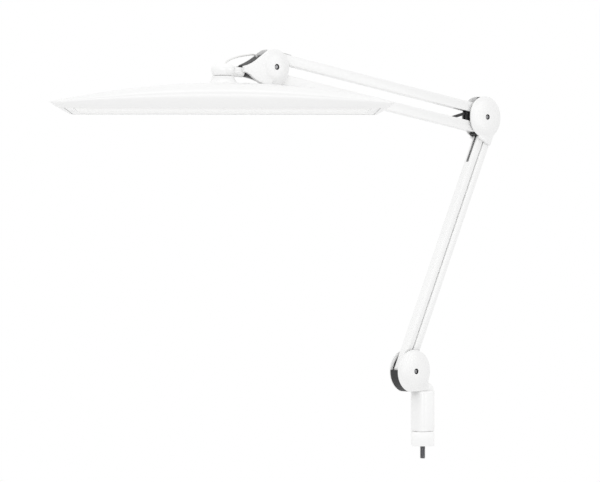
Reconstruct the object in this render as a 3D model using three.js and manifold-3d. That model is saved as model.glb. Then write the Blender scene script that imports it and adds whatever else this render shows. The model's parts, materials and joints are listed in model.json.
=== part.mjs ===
// A swing arm desk lamp: a mounting block with a threaded stud carries a swivel column, two
// parallelogram arms with black cores between domed covers, and a wide arched LED head.
// Millimetres, +Z up. The stud's axis is X = 0, Y = 0, and the block's underside is Z = 0.
// The arms lie in the XZ plane and lean first towards +X, then reach back towards -X.

import * as THREE from "three";
import { mergeVertices } from "three/addons/utils/BufferGeometryUtils.js";
import Module from "manifold-3d";

const wasm = await Module();
wasm.setup();

// ---------------------------------------------------------------- driving dimensions

const gap = 0.3; // between pieces that are fixed to each other
const slip = 0.5; // between pieces that move past each other

const studRadius = 4.8;
const studDrop = 23; // length of stud below the block
const studGrip = 9; // length of stud inside the block
const blockSide = 40;
const blockHeight = 26;
const blockYaw = -40;
const grubRadius = 2.5;

const postRadius = 11;
const postSocket = 13; // depth of the post in the block
const postReach = 40; // length of the post in the column
const bushWall = 2;
const bushFlangeRadius = 16;
const bushFlange = 0.8;
const columnSide = 36.5;
const columnCorner = 11;
const columnHeight = 72.3;
const tongueHeight = 12.6;
const tongueCorner = 11.5;

const linkSpacing = 35; // between the two pivots at each end of an arm
const lowerLinkAngle = 35; // of the pivot pair above horizontal
const lowerArmLength = 477;
const lowerArmLean = 25.1; // from vertical, towards +X
const lowerArmForward = 80; // travel from rest
const lowerArmBack = 3;
const lowerBarWidth = 14.2;
const upperArmLength = 468;
const upperArmRise = 8.24; // above horizontal, towards -X
const upperArmUp = 22;
const upperArmDown = 38;
const upperBarWidth = 17.8;
const barDepth = 14;
const barWall = 1.5;
const barChamfer = 0.9;
const pinRadius = 3.5;
const grommetPlace = 26; // along the lower right bar, from its foot
const grommetRadius = 2.6;
const grommetProud = 3.5;
const lowerSlotLength = 67; // slots that clear the spring ties and their levers
const lowerSlotHalf = 3.2;
const topSlotEnd = 50;
const tieSlotEnd = 104;

const jointHalf = 10; // from the arm's plane to each cover's rim
const coverRadius = 38.3;
const headCoverRadius = 31;
const domeHeight = 7.8;
const rimHeight = 2.6;
const domePower = 3.3; // how flat the dome stays around its bolt
const plateRise = 3.6; // height of the plates that reach out of the covers, above the rim
const tiltPlateRise = 5.5;
const coverSkin = 1.6;
const coreSetBack = 6; // of the core inside the covers, where the bars swing
const recessRadius = 5;
const recessDepth = 3.4;
const boltRadius = 2.8;
const boltHeadHeight = 1.8;

const baseJointX = -31.3;
const baseJointZ = 135.2;
const basePairAcross = 15.3; // from the joint's centre to the pair's middle, square to the arm
const elbowPairAcross = 18.1;
const pairAlong = 8; // the same, along the arm
const baseNeckLeft = -5; // edges of the cover's square foot, from the joint's centre
const baseNeckRight = 33.6;
const baseOpeningRise = 2; // of the core's open side, above the left pivot
const elbowNeckWidth = 32.5;
const elbowNeckReach = 42;
const elbowLip = 3; // the neck's end is thicker, and closes it against the bars
const elbowPairBack = 19.6; // from the elbow's centre back to the upper arm's pivots
const elbowPairDrop = 1.3;
const elbowShoulder = 17; // how far the core's top corner is cut back
const headPairForward = 18.3; // from the tilt centre to the upper arm's far pivots
const headPairDrop = 1;

const leverReach = 42.5; // spring lever, from the elbow's centre to its free end
const leverTop = 12;
const leverBottom = -6;
const leverNeckTop = 4; // the lever is lower between the joint and its head
const leverHead = 9; // length of the lever's head
const leverChamfer = 2.5;
const leverThickness = 9;
const tiePinInset = 6; // from the lever's free end
const tiePinDrop = 4.6; // from the lever's top
const tiePinRadius = 1;
const tieThickness = 2.4;
const tieHeight = 5;
const tieDip = 15; // of the tie below horizontal, towards -X
const tieLength = 59.5;
const springRadius = 4.6;
const springWire = 0.8;
const springCoils = 9;
const upperSpringLength = 150;
const lowerSpringLength = 170;
const capStrip = 1.5; // end cap that wraps the top bar's far end
const capReach = 22;
const capPlug = 14;

const neckLength = 61.8; // from the tilt centre to the neck's narrow end
const neckTop = 1; // heights at the narrow end, from the tilt centre
const neckBottom = -18.4;
const neckSkinTop = -1.6; // the same for the covers' tails
const neckSkinBottom = -11.3;
const neckSkinOverlap = 6.8;
const linkCornerRight = 8; // the link's core is set back at its top, left of this

const swivelReach = 102.2; // from the tilt centre to the head's swivel axis
const rollDrop = 11.3; // from the tilt centre down to the knuckle's axis
const knuckleRadius = 8.4;
const rollPinRadius = 3.2;
const rollPinGrip = 16;
const capDrop = 19; // from the tilt centre down to the cap's underside
const capHeight = 20.2;
const capRadius = 20.4;
const capBulge = 9.6; // height of the cap's widest ring above its underside
const capFoot = 16.8;
const capFlat = 9;
const bossHeight = 11.6;
const bossTopRadius = 18.4;
const bossBaseRadius = 25.5;
const swivelGap = 0.8;
const swivelBoltRadius = 4;
const swivelBoltGrip = 12;
const swivelWasherRadius = 12;
const swivelWasher = 1.5;
const swivelBoltHead = 4;
const swivelBoltHeadRadius = 7;
const jumperRadius = 1.5;

const headYaw = -38.5; // of the head's long axis, about its swivel
const headHalfLength = 285; // to the pointed tips
const headCorner = 262; // half length along the rim
const headHalfWidth = 100; // at the brim, its widest line
const headRimHalfWidth = 95;
const headHeight = 46.9;
const headBrim = 21; // height of the brim above the rim, at mid-length
const headTipBrim = 8; // the same at the tips
const headTipRise = 12.6; // height of the tips above the rim
const archPower = 2.2; // squareness of the head's arch across its width
const bowPower = 2; // how late the crown and the brim fall towards the tips
const headWall = 2.2;
const bezelThickness = 2.5;
const bezelLift = 0.8;
const bezelLong = 6; // width of the bezel's long sides
const bezelShort = 14;
const diffuserThickness = 2;
const trayHalfLength = 222;
const trayHalfWidth = 84;
const trayThickness = 1.5;
const trayLift = 12;
const boardHalfWidth = 12;
const boardThickness = 1.2;
const boardOffset = 36;
const screwPostX = 190;
const screwPostY = 56;
const screwPostRadius = 4;
const screwRadius = 1.4;
const screwHeadRadius = 2.8;
const screwHeadHeight = 1.6;
const driverLength = 120;
const driverWidth = 36;
const driverHeight = 13;
const driverX = -130;
const buttonRadius = 4;
const buttonStem = 2.2;

// ---------------------------------------------------------------- derived places

const rad = Math.PI / 180;
const polar = (length, degrees) =>
  new THREE.Vector2(length * Math.cos(degrees * rad), length * Math.sin(degrees * rad));
const at = (origin, x, z) => new THREE.Vector2(origin.x + x, origin.y + z);

const columnFoot = blockHeight + slip;
const flangeRoom = blockHeight + bushFlange + 2 * gap; // top of the room for the bush's flange
const columnTop = columnFoot + columnHeight;
const coreHalf = jointHalf - gap;
const barHalf = barDepth / 2;
const pocketHalf = barHalf + slip;

const lowerAngle = 90 - lowerArmLean;
const lowerAlong = polar(1, lowerAngle);
const lowerAcross = polar(1, lowerAngle - 90);
const lowerPair = polar(linkSpacing / 2, lowerLinkAngle);
const baseJoint = new THREE.Vector2(baseJointX, baseJointZ);
const baseMiddle = baseJoint
  .clone()
  .addScaledVector(lowerAcross, -basePairAcross)
  .addScaledVector(lowerAlong, pairAlong);
const elbowMiddle = baseMiddle.clone().addScaledVector(lowerAlong, lowerArmLength);
const elbowJoint = elbowMiddle
  .clone()
  .addScaledVector(lowerAcross, -elbowPairAcross)
  .addScaledVector(lowerAlong, pairAlong);
const baseLeft = baseMiddle.clone().sub(lowerPair);
const baseRight = baseMiddle.clone().add(lowerPair);
const elbowLeft = elbowMiddle.clone().sub(lowerPair);
const elbowRight = elbowMiddle.clone().add(lowerPair);

const upperAngle = 180 - upperArmRise;
const elbowTop = at(elbowJoint, -elbowPairBack, linkSpacing / 2 - elbowPairDrop);
const elbowBottom = at(elbowJoint, -elbowPairBack, -linkSpacing / 2 - elbowPairDrop);
const headTop = elbowTop.clone().add(polar(upperArmLength, upperAngle));
const headBottom = elbowBottom.clone().add(polar(upperArmLength, upperAngle));
const headMiddle = headTop.clone().add(headBottom).multiplyScalar(0.5);
const tiltJoint = at(headMiddle, -headPairForward, headPairDrop);
const leverPivot = at(elbowJoint, tiePinInset - leverReach, leverTop - tiePinDrop);
const tieAngle = 180 + tieDip;

const swivelX = tiltJoint.x - swivelReach;
const rollZ = tiltJoint.y - rollDrop;
const capZ = tiltJoint.y - capDrop;
const bossTopZ = capZ - swivelGap;
const crownZ = bossTopZ - bossHeight;
const rimZ = crownZ - headHeight;
const knuckleEnd = tiltJoint.x - neckLength - slip;

// ---------------------------------------------------------------- materials

const paint = { color: 0xeeeeec, roughness: 0.35, metalness: 0 };
const blackPlastic = { color: 0x1c1c1e, roughness: 0.5, metalness: 0 };
const steel = { color: 0x9a9c9e, roughness: 0.3, metalness: 1 };
const aluminium = { color: 0xc4c6c8, roughness: 0.4, metalness: 1 };
const opal = { color: 0xf4f4f0, roughness: 0.6, metalness: 0 };
const boardWhite = { color: 0xe4e6e2, roughness: 0.55, metalness: 0 };
const cableGrey = { color: 0xb4b4b2, roughness: 0.6, metalness: 0 };

// ---------------------------------------------------------------- helpers

function signedVolume(position, index) {
  const [a, b, c] = [new THREE.Vector3(), new THREE.Vector3(), new THREE.Vector3()];
  let sum = 0;
  for (let i = 0; i < index.length; i += 3) {
    a.fromArray(position, 3 * index[i]);
    b.fromArray(position, 3 * index[i + 1]);
    c.fromArray(position, 3 * index[i + 2]);
    sum += a.dot(b.cross(c));
  }
  return sum / 6;
}

// A closed geometry as a solid that can be cut and joined, with its faces pointing out.
function solid(geometry) {
  const bare = geometry.clone();
  bare.deleteAttribute("normal");
  bare.deleteAttribute("uv");
  const merged = mergeVertices(bare, 1e-4);
  const vertProperties = new Float32Array(merged.attributes.position.array);
  const triVerts = new Uint32Array(merged.index.array);
  if (signedVolume(vertProperties, triVerts) < 0) triVerts.reverse();
  return new wasm.Manifold(new wasm.Mesh({ numProp: 3, vertProperties, triVerts }));
}

const joined = (...bodies) => bodies.reduce((whole, body) => whole.add(body));
const cut = (body, ...tools) => tools.reduce((left, tool) => left.subtract(tool), body);

function piece(name, body, look) {
  const { numProp, vertProperties, triVerts } = body.getMesh();
  const position = new Float32Array((vertProperties.length / numProp) * 3);
  for (let i = 0; i < position.length / 3; i += 1) {
    for (let k = 0; k < 3; k += 1) position[3 * i + k] = vertProperties[numProp * i + k];
  }
  const geometry = new THREE.BufferGeometry();
  geometry.setAttribute("position", new THREE.BufferAttribute(position, 3));
  geometry.setIndex(new THREE.BufferAttribute(new Uint32Array(triVerts), 1));
  geometry.computeVertexNormals();
  const mesh = new THREE.Mesh(geometry, new THREE.MeshStandardMaterial(look));
  mesh.name = name;
  return mesh;
}

// A shape drawn in X and Z, as a slab between two values of Y.
function slab(shape, yLow, yHigh, chamfer = 0) {
  const geometry = new THREE.ExtrudeGeometry(shape, {
    depth: yHigh - yLow - 2 * chamfer,
    curveSegments: 8,
    bevelEnabled: chamfer > 0,
    bevelThickness: chamfer,
    bevelSize: chamfer,
    bevelOffset: -chamfer,
    bevelSegments: 1,
  });
  geometry.rotateX(Math.PI / 2);
  geometry.translate(0, yHigh - chamfer, 0);
  return solid(geometry);
}

const polygon = (points) => new THREE.Shape(points.map(([x, y]) => new THREE.Vector2(x, y)));
const sidesFor = (radius) => 2 * Math.round(6 + radius / 3);

function circleShape(radius, centre) {
  const sides = sidesFor(radius);
  const points = Array.from({ length: sides }, (_, i) => {
    const p = polar(radius, (360 * i) / sides).add(centre);
    return [p.x, p.y];
  });
  return polygon(points);
}

function boxShape(xLow, xHigh, zLow, zHigh) {
  return polygon([
    [xLow, zLow],
    [xHigh, zLow],
    [xHigh, zHigh],
    [xLow, zHigh],
  ]);
}

// Rods along each axis, given their middle line and their two ends.
function rodY(radius, centre, yLow, yHigh, sides = sidesFor(radius)) {
  const geometry = new THREE.CylinderGeometry(radius, radius, yHigh - yLow, sides);
  geometry.translate(centre.x, (yLow + yHigh) / 2, centre.y);
  return solid(geometry);
}

function rodZ(radius, x, y, zLow, zHigh, sides = sidesFor(radius)) {
  const geometry = new THREE.CylinderGeometry(radius, radius, zHigh - zLow, sides);
  geometry.rotateX(Math.PI / 2);
  geometry.translate(x, y, (zLow + zHigh) / 2);
  return solid(geometry);
}

function rodX(radius, y, z, xLow, xHigh, sides = sidesFor(radius)) {
  const geometry = new THREE.CylinderGeometry(radius, radius, xHigh - xLow, sides);
  geometry.rotateZ(Math.PI / 2);
  geometry.translate((xLow + xHigh) / 2, y, z);
  return solid(geometry);
}

function box(xLow, xHigh, yLow, yHigh, zLow, zHigh) {
  const geometry = new THREE.BoxGeometry(xHigh - xLow, yHigh - yLow, zHigh - zLow);
  geometry.translate((xLow + xHigh) / 2, (yLow + yHigh) / 2, (zLow + zHigh) / 2);
  return solid(geometry);
}

// A profile of radius and height turned about a vertical line.
function turnedZ(points, x, y, sides = 28) {
  const geometry = new THREE.LatheGeometry(points, sides);
  geometry.rotateX(Math.PI / 2);
  geometry.translate(x, y, 0);
  return solid(geometry);
}

// A profile of radius and distance from the arm's plane, turned about a joint's axis.
function turnedY(points, centre, side, sides = sidesFor(coverRadius)) {
  const geometry = new THREE.LatheGeometry(points, sides);
  geometry.scale(1, side, 1);
  geometry.translate(centre.x, 0, centre.y);
  return solid(geometry);
}

const V = (x, y) => new THREE.Vector2(x, y);

// ---------------------------------------------------------------- joint covers and cores

const domeRise = (r, radius) =>
  rimHeight + (domeHeight - rimHeight) * (1 - (r / radius) ** domePower);

// The space that a bar sweeps about its pivot, between two directions in degrees. Near the rim of
// the joint's covers it goes right through the core.
function sweptByBar(pivot, width, from, to, joint, radius) {
  const reach = 3 * radius;
  const half = width / 2 + slip;
  const fan = [[pivot.x, pivot.y]];
  for (let i = 0; i <= 8; i += 1) {
    const tip = polar(reach, from + ((to - from) * i) / 8).add(pivot);
    fan.push([tip.x, tip.y]);
  }
  const stripe = (degrees) => {
    const tip = polar(reach, degrees).add(pivot);
    const side = polar(half, degrees + 90);
    return polygon([
      [pivot.x + side.x, pivot.y + side.y],
      [pivot.x - side.x, pivot.y - side.y],
      [tip.x - side.x, tip.y - side.y],
      [tip.x + side.x, tip.y + side.y],
    ]);
  };
  const shapes = [circleShape(half, pivot), polygon(fan), stripe(from), stripe(to)];
  const deep = (depth) => joined(...shapes.map((shape) => slab(shape, -depth, depth)));
  const kept = rodY(radius - coreSetBack, joint, -2 * jointHalf, 2 * jointHalf);
  return joined(deep(pocketHalf), cut(deep(jointHalf), kept));
}

// A domed cover: round over the joint, and joined to the flat plate that reaches out of it.
function cover(name, centre, radius, plate, rise, side) {
  const rim = jointHalf;
  const outer = [V(0, rim), V(radius, rim)];
  const inner = [V(recessRadius + coverSkin, rim - 1), V(radius - coverSkin, rim - 1)];
  for (let i = 0; i <= 5; i += 1) {
    const r = radius * (1 - i / 5);
    outer.push(V(r, rim + domeRise(r, radius)));
  }
  for (let i = 0; i <= 3; i += 1) {
    const r = radius - coverSkin + ((recessRadius + 2 * coverSkin - radius) * i) / 3;
    inner.push(V(r, rim + domeRise(r, radius) - coverSkin));
  }
  inner.push(inner[0].clone());
  const top = rim + domeHeight;
  const yAt = (low, high) => (side > 0 ? [low, high] : [-high, -low]);
  return piece(
    name,
    cut(
      joined(turnedY(outer, centre, side), slab(plate, ...yAt(rim, rim + rise))),
      turnedY(inner, centre, side),
      rodY(recessRadius, centre, ...yAt(top - recessDepth, top + 1)),
      rodY(boltRadius + gap, centre, ...yAt(rim - 1, top + 1)),
    ),
    paint,
  );
}

// The bolt through a joint, its head in the front cover's recess.
function throughBolt(name, centre) {
  const floor = jointHalf + domeHeight - recessDepth;
  const headRadius = recessRadius - 1;
  const hex = new THREE.Shape();
  hex.moveTo(centre.x + 2, centre.y);
  for (let i = 1; i < 6; i += 1) hex.lineTo(centre.x + 2 * Math.cos(60 * i * rad),
    centre.y + 2 * Math.sin(60 * i * rad));
  const headTopY = -floor - gap - boltHeadHeight;
  return piece(
    name,
    cut(
      joined(
        rodY(boltRadius, centre, -floor - gap - 0.1, floor + gap + boltHeadHeight * 0.5),
        rodY(headRadius, centre, headTopY, -floor - gap),
      ),
      slab(hex, headTopY - 1, headTopY + boltHeadHeight * 0.7),
    ),
    steel,
  );
}

function throughNut(name, centre) {
  const floor = jointHalf + domeHeight - recessDepth;
  return piece(
    name,
    cut(
      rodY(recessRadius - 1, centre, floor + gap, floor + gap + boltHeadHeight, 6),
      rodY(boltRadius + gap, centre, floor, floor + boltHeadHeight + 1),
    ),
    steel,
  );
}

const pin = (name, centre) => piece(name, rodY(pinRadius, centre, -coreHalf, coreHalf), steel);
const pinHole = (centre) => rodY(pinRadius + gap, centre, -jointHalf, jointHalf);
const boltHole = (centre) => rodY(boltRadius + gap, centre, -jointHalf, jointHalf);

// ---------------------------------------------------------------- arm bars

// A rectangular tube with rounded ends, lying along X from the pivot at 0 to the one at length.
function barBody(length, width) {
  const half = width / 2;
  const shape = new THREE.Shape();
  shape.absarc(0, 0, half, 90 * rad, 270 * rad);
  shape.absarc(length, 0, half, -90 * rad, 90 * rad);
  shape.closePath();
  const inside = barHalf - barWall;
  return cut(
    slab(shape, -barHalf, barHalf, barChamfer),
    box(-width, length + width, -inside, inside, barWall - half, half - barWall),
    rodY(pinRadius + gap, V(0, 0), -barDepth, barDepth),
    rodY(pinRadius + gap, V(length, 0), -barDepth, barDepth),
  );
}

// A slot through one long wall of a bar: side is 1 for its +Z wall and -1 for its -Z wall.
function barSlot(xLow, xHigh, width, side, half = leverThickness / 2 + slip) {
  const outer = side * (width / 2 + 1);
  const inner = side * (width / 2 - barWall - 1);
  return box(xLow, xHigh, -half, half, Math.min(outer, inner), Math.max(outer, inner));
}

// Puts a group with its X axis on a direction in the arm's plane, given in degrees.
function along(pivot, degrees, ...meshes) {
  const group = new THREE.Group();
  group.position.set(pivot.x, 0, pivot.y);
  group.rotation.y = -degrees * rad;
  group.add(...meshes);
  return group;
}

class Helix extends THREE.Curve {
  constructor(radius, turns, start, length) {
    super();
    Object.assign(this, { radius, turns, start, length });
  }

  getPoint(t, target = new THREE.Vector3()) {
    const angle = 2 * Math.PI * this.turns * t;
    const x = this.start + this.length * t;
    return target.set(x, this.radius * Math.cos(angle), this.radius * Math.sin(angle));
  }
}

function spring(name, start, length) {
  const helix = new Helix(springRadius - springWire, springCoils, start, length);
  const wire = new THREE.Shape();
  wire.absarc(0, 0, springWire, 0, 2 * Math.PI);
  const geometry = new THREE.ExtrudeGeometry(wire, {
    steps: springCoils * 8,
    curveSegments: 2,
    extrudePath: helix,
    bevelEnabled: false,
  });
  return piece(name, solid(geometry), steel);
}

// ---------------------------------------------------------------- mount and column

function mountPieces() {
  const bore = postRadius + bushWall + 2 * gap;
  const socketFloor = blockHeight - postSocket;
  const grubEnd = blockSide / 2 - 1;
  const block = cut(
    box(-blockSide / 2, blockSide / 2, -blockSide / 2, blockSide / 2, 0, blockHeight),
    rodZ(bore, 0, 0, socketFloor, blockHeight + 1),
    rodZ(studRadius + gap, 0, 0, -1, studGrip + gap),
    rodY(grubRadius + gap, V(0, blockHeight * 0.72), bore - 1, blockSide),
  );
  const bushBore = postRadius + gap;
  const bush = [
    V(bushBore, socketFloor + gap),
    V(bore - gap, socketFloor + gap),
    V(bore - gap, blockHeight + gap),
    V(bushFlangeRadius, blockHeight + gap),
    V(bushFlangeRadius, blockHeight + gap + bushFlange),
    V(bushBore, blockHeight + gap + bushFlange),
    V(bushBore, socketFloor + gap),
  ];
  const stud = [
    V(0, -studDrop),
    V(studRadius - 1, -studDrop),
    V(studRadius, 1 - studDrop),
    V(studRadius, studGrip),
    V(0, studGrip),
  ];
  const group = new THREE.Group();
  group.rotation.z = blockYaw * rad;
  group.add(
    piece("mount_block", block, paint),
    piece("mounting_stud", turnedZ(stud, 0, 0), steel),
    piece("swivel_bush", turnedZ(bush, 0, 0), paint),
    piece("grub_screw", rodY(grubRadius, V(0, blockHeight * 0.72), bore + gap, grubEnd), steel),
  );
  return group;
}

function roundedSquare(side, corner) {
  const h = side / 2;
  const shape = new THREE.Shape();
  shape.absarc(h - corner, h - corner, corner, 0, 90 * rad);
  shape.absarc(corner - h, h - corner, corner, 90 * rad, 180 * rad);
  shape.absarc(corner - h, corner - h, corner, 180 * rad, 270 * rad);
  shape.absarc(h - corner, corner - h, corner, 270 * rad, 360 * rad);
  shape.closePath();
  return shape;
}

// The column's tongue between the base covers, rounded at its free top corner.
function tongueShape(margin) {
  const half = columnSide / 2 + margin;
  const top = columnTop + tongueHeight + margin;
  const shape = new THREE.Shape();
  shape.moveTo(-half, columnTop - 1);
  shape.lineTo(half, columnTop - 1);
  shape.lineTo(half, top - tongueCorner);
  shape.absarc(half - tongueCorner, top - tongueCorner, tongueCorner, 0, 90 * rad);
  shape.lineTo(-half, top);
  shape.closePath();
  return shape;
}

const neckScrew = V(-8, columnTop + tongueHeight * 0.45);

function columnPieces() {
  const geometry = new THREE.ExtrudeGeometry(roundedSquare(columnSide, columnCorner), {
    depth: columnHeight,
    curveSegments: 8,
    bevelEnabled: false,
  });
  geometry.translate(0, 0, columnFoot);
  const column = cut(
    joined(solid(geometry), slab(tongueShape(0), -coreHalf, coreHalf)),
    rodZ(bushFlangeRadius + slip, 0, 0, columnFoot - 1, flangeRoom),
    rodZ(postRadius + gap, 0, 0, columnFoot - 1, columnFoot + postReach + gap),
    rodY(boltRadius + gap, neckScrew, -jointHalf, jointHalf),
  );
  const post = rodZ(postRadius, 0, 0, blockHeight - postSocket + gap, columnFoot + postReach);
  return [piece("swivel_column", column, paint), piece("swivel_post", post, steel)];
}

// ---------------------------------------------------------------- base joint

// The front of the core is open beside the left bar, so that the bar's side shows to its pivot.
function baseOpening(reach) {
  const corner = at(baseLeft, -pinRadius - 1, baseOpeningRise);
  const top = polar(reach, lowerAngle).add(corner);
  return polygon([
    [corner.x, corner.y],
    [top.x, top.y],
    [corner.x - reach, top.y],
    [corner.x - reach, corner.y],
  ]);
}

function basePieces() {
  const foot = columnTop + gap;
  const wide = 2 * coverRadius;
  const neck = boxShape(baseJoint.x + baseNeckLeft, baseJoint.x + baseNeckRight, foot, baseJoint.y);
  const below = boxShape(baseJoint.x - wide, baseJoint.x + wide, foot - wide, foot);
  const sweeps = [baseLeft, baseRight].map((pivot) =>
    sweptByBar(pivot, lowerBarWidth, lowerAngle - lowerArmBack - 1,
      lowerAngle + lowerArmForward + 1, baseJoint, coverRadius));
  const opening = slab(baseOpening(wide), -jointHalf, pocketHalf);
  const core = cut(
    slab(circleShape(coverRadius - gap, baseJoint), -coreHalf, coreHalf),
    slab(below, -jointHalf, jointHalf),
    slab(tongueShape(gap), -jointHalf, jointHalf),
    opening,
    ...sweeps,
    pinHole(baseLeft),
    pinHole(baseRight),
    boltHole(baseJoint),
  );
  const screwEnd = jointHalf + plateRise;
  const screwHole = rodY(boltRadius + gap, neckScrew, 0, screwEnd + 1);
  const standing = (name, side, ...holes) => {
    const whole = cover(name, baseJoint, coverRadius, neck, plateRise, side);
    return piece(name, cut(solid(whole.geometry), slab(below, -wide, wide), ...holes), paint);
  };
  return [
    piece("base_core", core, blackPlastic),
    standing("base_cover_front", -1),
    standing("base_cover_rear", 1, screwHole),
    throughBolt("base_bolt", baseJoint),
    throughNut("base_nut", baseJoint),
    piece("base_neck_screw", rodY(boltRadius, neckScrew, -coreHalf, screwEnd), steel),
    pin("base_pin_left", baseLeft),
    pin("base_pin_right", baseRight),
  ];
}

// ---------------------------------------------------------------- lower arm

function lowerArmPieces() {
  const slotEnd = lowerArmLength + lowerBarWidth;
  const slotStart = lowerArmLength - lowerSlotLength;
  const leftBar = cut(
    barBody(lowerArmLength, lowerBarWidth),
    barSlot(slotStart, slotEnd, lowerBarWidth, 1, lowerSlotHalf),
  );
  const leverTie = slab(
    boxShape(slotStart - 20, lowerArmLength - pinRadius - 3, -tieHeight / 2, tieHeight / 2),
    -tieThickness, tieThickness,
  );
  const left = along(
    baseLeft,
    lowerAngle,
    piece("lower_bar_left", leftBar, paint),
    piece("lower_spring_tie", leverTie, blackPlastic),
    spring("lower_spring", slotStart - 22 - lowerSpringLength, lowerSpringLength),
  );
  const skin = -lowerBarWidth / 2;
  const grommetHole = rodZ(grommetRadius, grommetPlace, 0, 2 * skin, 0);
  const grommet = joined(
    rodZ(grommetRadius - gap, grommetPlace, 0, skin - grommetProud, skin + barWall + grommetProud / 2),
    rodZ(grommetRadius + gap, grommetPlace, 0, skin - grommetProud, skin - gap),
  );
  const right = along(
    baseRight,
    lowerAngle,
    piece("lower_bar_right", cut(barBody(lowerArmLength, lowerBarWidth), grommetHole), paint),
    piece("cable_grommet", grommet, paint),
  );
  return [left, right];
}

// ---------------------------------------------------------------- elbow

// A shape drawn from a centre, with its own X square to the lower arm and Z along it.
function inLowerFrame(centre, points) {
  return polygon(
    points.map(([across, along]) => {
      const p = centre.clone().addScaledVector(lowerAcross, across);
      p.addScaledVector(lowerAlong, along);
      return [p.x, p.y];
    }),
  );
}

function elbowPieces() {
  const neck = inLowerFrame(elbowJoint, [
    [0, 0],
    [0, -elbowNeckReach],
    [elbowNeckWidth, -elbowNeckReach],
    [elbowNeckWidth, 0],
  ]);
  const lip = inLowerFrame(elbowJoint, [
    [0, elbowLip - elbowNeckReach],
    [0, -elbowNeckReach],
    [elbowNeckWidth, -elbowNeckReach],
    [elbowNeckWidth, elbowLip - elbowNeckReach],
  ]);
  const necked = (name, side) => {
    const whole = solid(cover(name, elbowJoint, coverRadius, neck, plateRise, side).geometry);
    const depths = [side * pocketHalf, side * (jointHalf + plateRise / 2)].sort((a, b) => a - b);
    return piece(name, joined(whole, slab(lip, ...depths)), paint);
  };
  const downwards = lowerAngle - 180;
  const sweeps = [elbowLeft, elbowRight].map((pivot) =>
    sweptByBar(pivot, lowerBarWidth, downwards - lowerArmBack - 1,
      downwards + lowerArmForward + 1, elbowJoint, coverRadius));
  const swings = [elbowTop, elbowBottom].map((pivot) =>
    sweptByBar(pivot, upperBarWidth, upperAngle - upperArmUp - 1,
      upperAngle + upperArmDown + 1, elbowJoint, coverRadius));
  const wide = 2 * coverRadius;
  const above = boxShape(elbowJoint.x - wide, elbowJoint.x, elbowTop.y, elbowTop.y + wide);
  const shoulder = cut(
    slab(above, -jointHalf, jointHalf),
    rodY(coverRadius, at(elbowJoint, elbowShoulder, 0), -jointHalf, jointHalf),
  );
  const disc = slab(circleShape(coverRadius - gap, elbowJoint), -coreHalf, coreHalf);
  const body = cut(disc, ...sweeps, ...swings, shoulder);
  const leverShape = polygon([
    [-leverReach, leverBottom],
    [0, leverBottom],
    [0, leverNeckTop],
    [leverHead - leverReach + 4, leverNeckTop],
    [leverHead - leverReach, leverTop],
    [leverChamfer - leverReach, leverTop],
    [-leverReach, leverTop - leverChamfer],
  ].map(([x, z]) => [elbowJoint.x + x, elbowJoint.y + z]));
  const tieSlot = boxShape(elbowJoint.x - leverReach - 1, leverPivot.x + tieHeight / 2 + slip,
    elbowJoint.y - leverReach, elbowJoint.y + leverReach);
  const slotHalf = tieThickness / 2 + slip;
  const core = cut(
    joined(body, slab(leverShape, -leverThickness / 2, leverThickness / 2)),
    slab(tieSlot, -slotHalf, slotHalf),
    ...[elbowLeft, elbowRight, elbowTop, elbowBottom].map(pinHole),
    boltHole(elbowJoint),
    rodY(tiePinRadius + gap, leverPivot, -leverThickness, leverThickness, 12),
  );
  const tiePin = rodY(tiePinRadius, leverPivot, -leverThickness / 2, leverThickness / 2, 12);
  return [
    piece("elbow_core", core, blackPlastic),
    necked("elbow_cover_front", -1),
    necked("elbow_cover_rear", 1),
    throughBolt("elbow_bolt", elbowJoint),
    throughNut("elbow_nut", elbowJoint),
    pin("elbow_pin_left", elbowLeft),
    pin("elbow_pin_right", elbowRight),
    pin("elbow_pin_top", elbowTop),
    pin("elbow_pin_bottom", elbowBottom),
    piece("tie_pin", tiePin, steel),
  ];
}

// ---------------------------------------------------------------- upper arm

// The cap that closes the top bar's far end and wraps its top, end and underside.
function endCap() {
  const inner = upperBarWidth / 2 + gap;
  const outer = inner + capStrip;
  const wrap = (half, stop) => {
    const shape = new THREE.Shape();
    shape.absarc(upperArmLength, 0, half, -90 * rad, 90 * rad);
    shape.lineTo(stop, half);
    shape.lineTo(stop, -half);
    shape.closePath();
    return shape;
  };
  const start = upperArmLength - capReach;
  const strip = cut(
    slab(wrap(outer, start), -barHalf, barHalf, barChamfer),
    slab(wrap(inner, start - 1), -barDepth, barDepth),
  );
  const plugHalf = upperBarWidth / 2 - barWall - gap;
  const plugSide = barHalf - barWall - gap;
  const plug = box(upperArmLength - capPlug, upperArmLength + outer - capStrip / 2,
    -plugSide, plugSide, -plugHalf, plugHalf);
  const trimmed = plug.intersect(slab(wrap(outer - capStrip / 2, 0), -barDepth, barDepth));
  return cut(joined(strip, trimmed),
    rodY(pinRadius + gap, V(upperArmLength, 0), -barDepth, barDepth));
}

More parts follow.
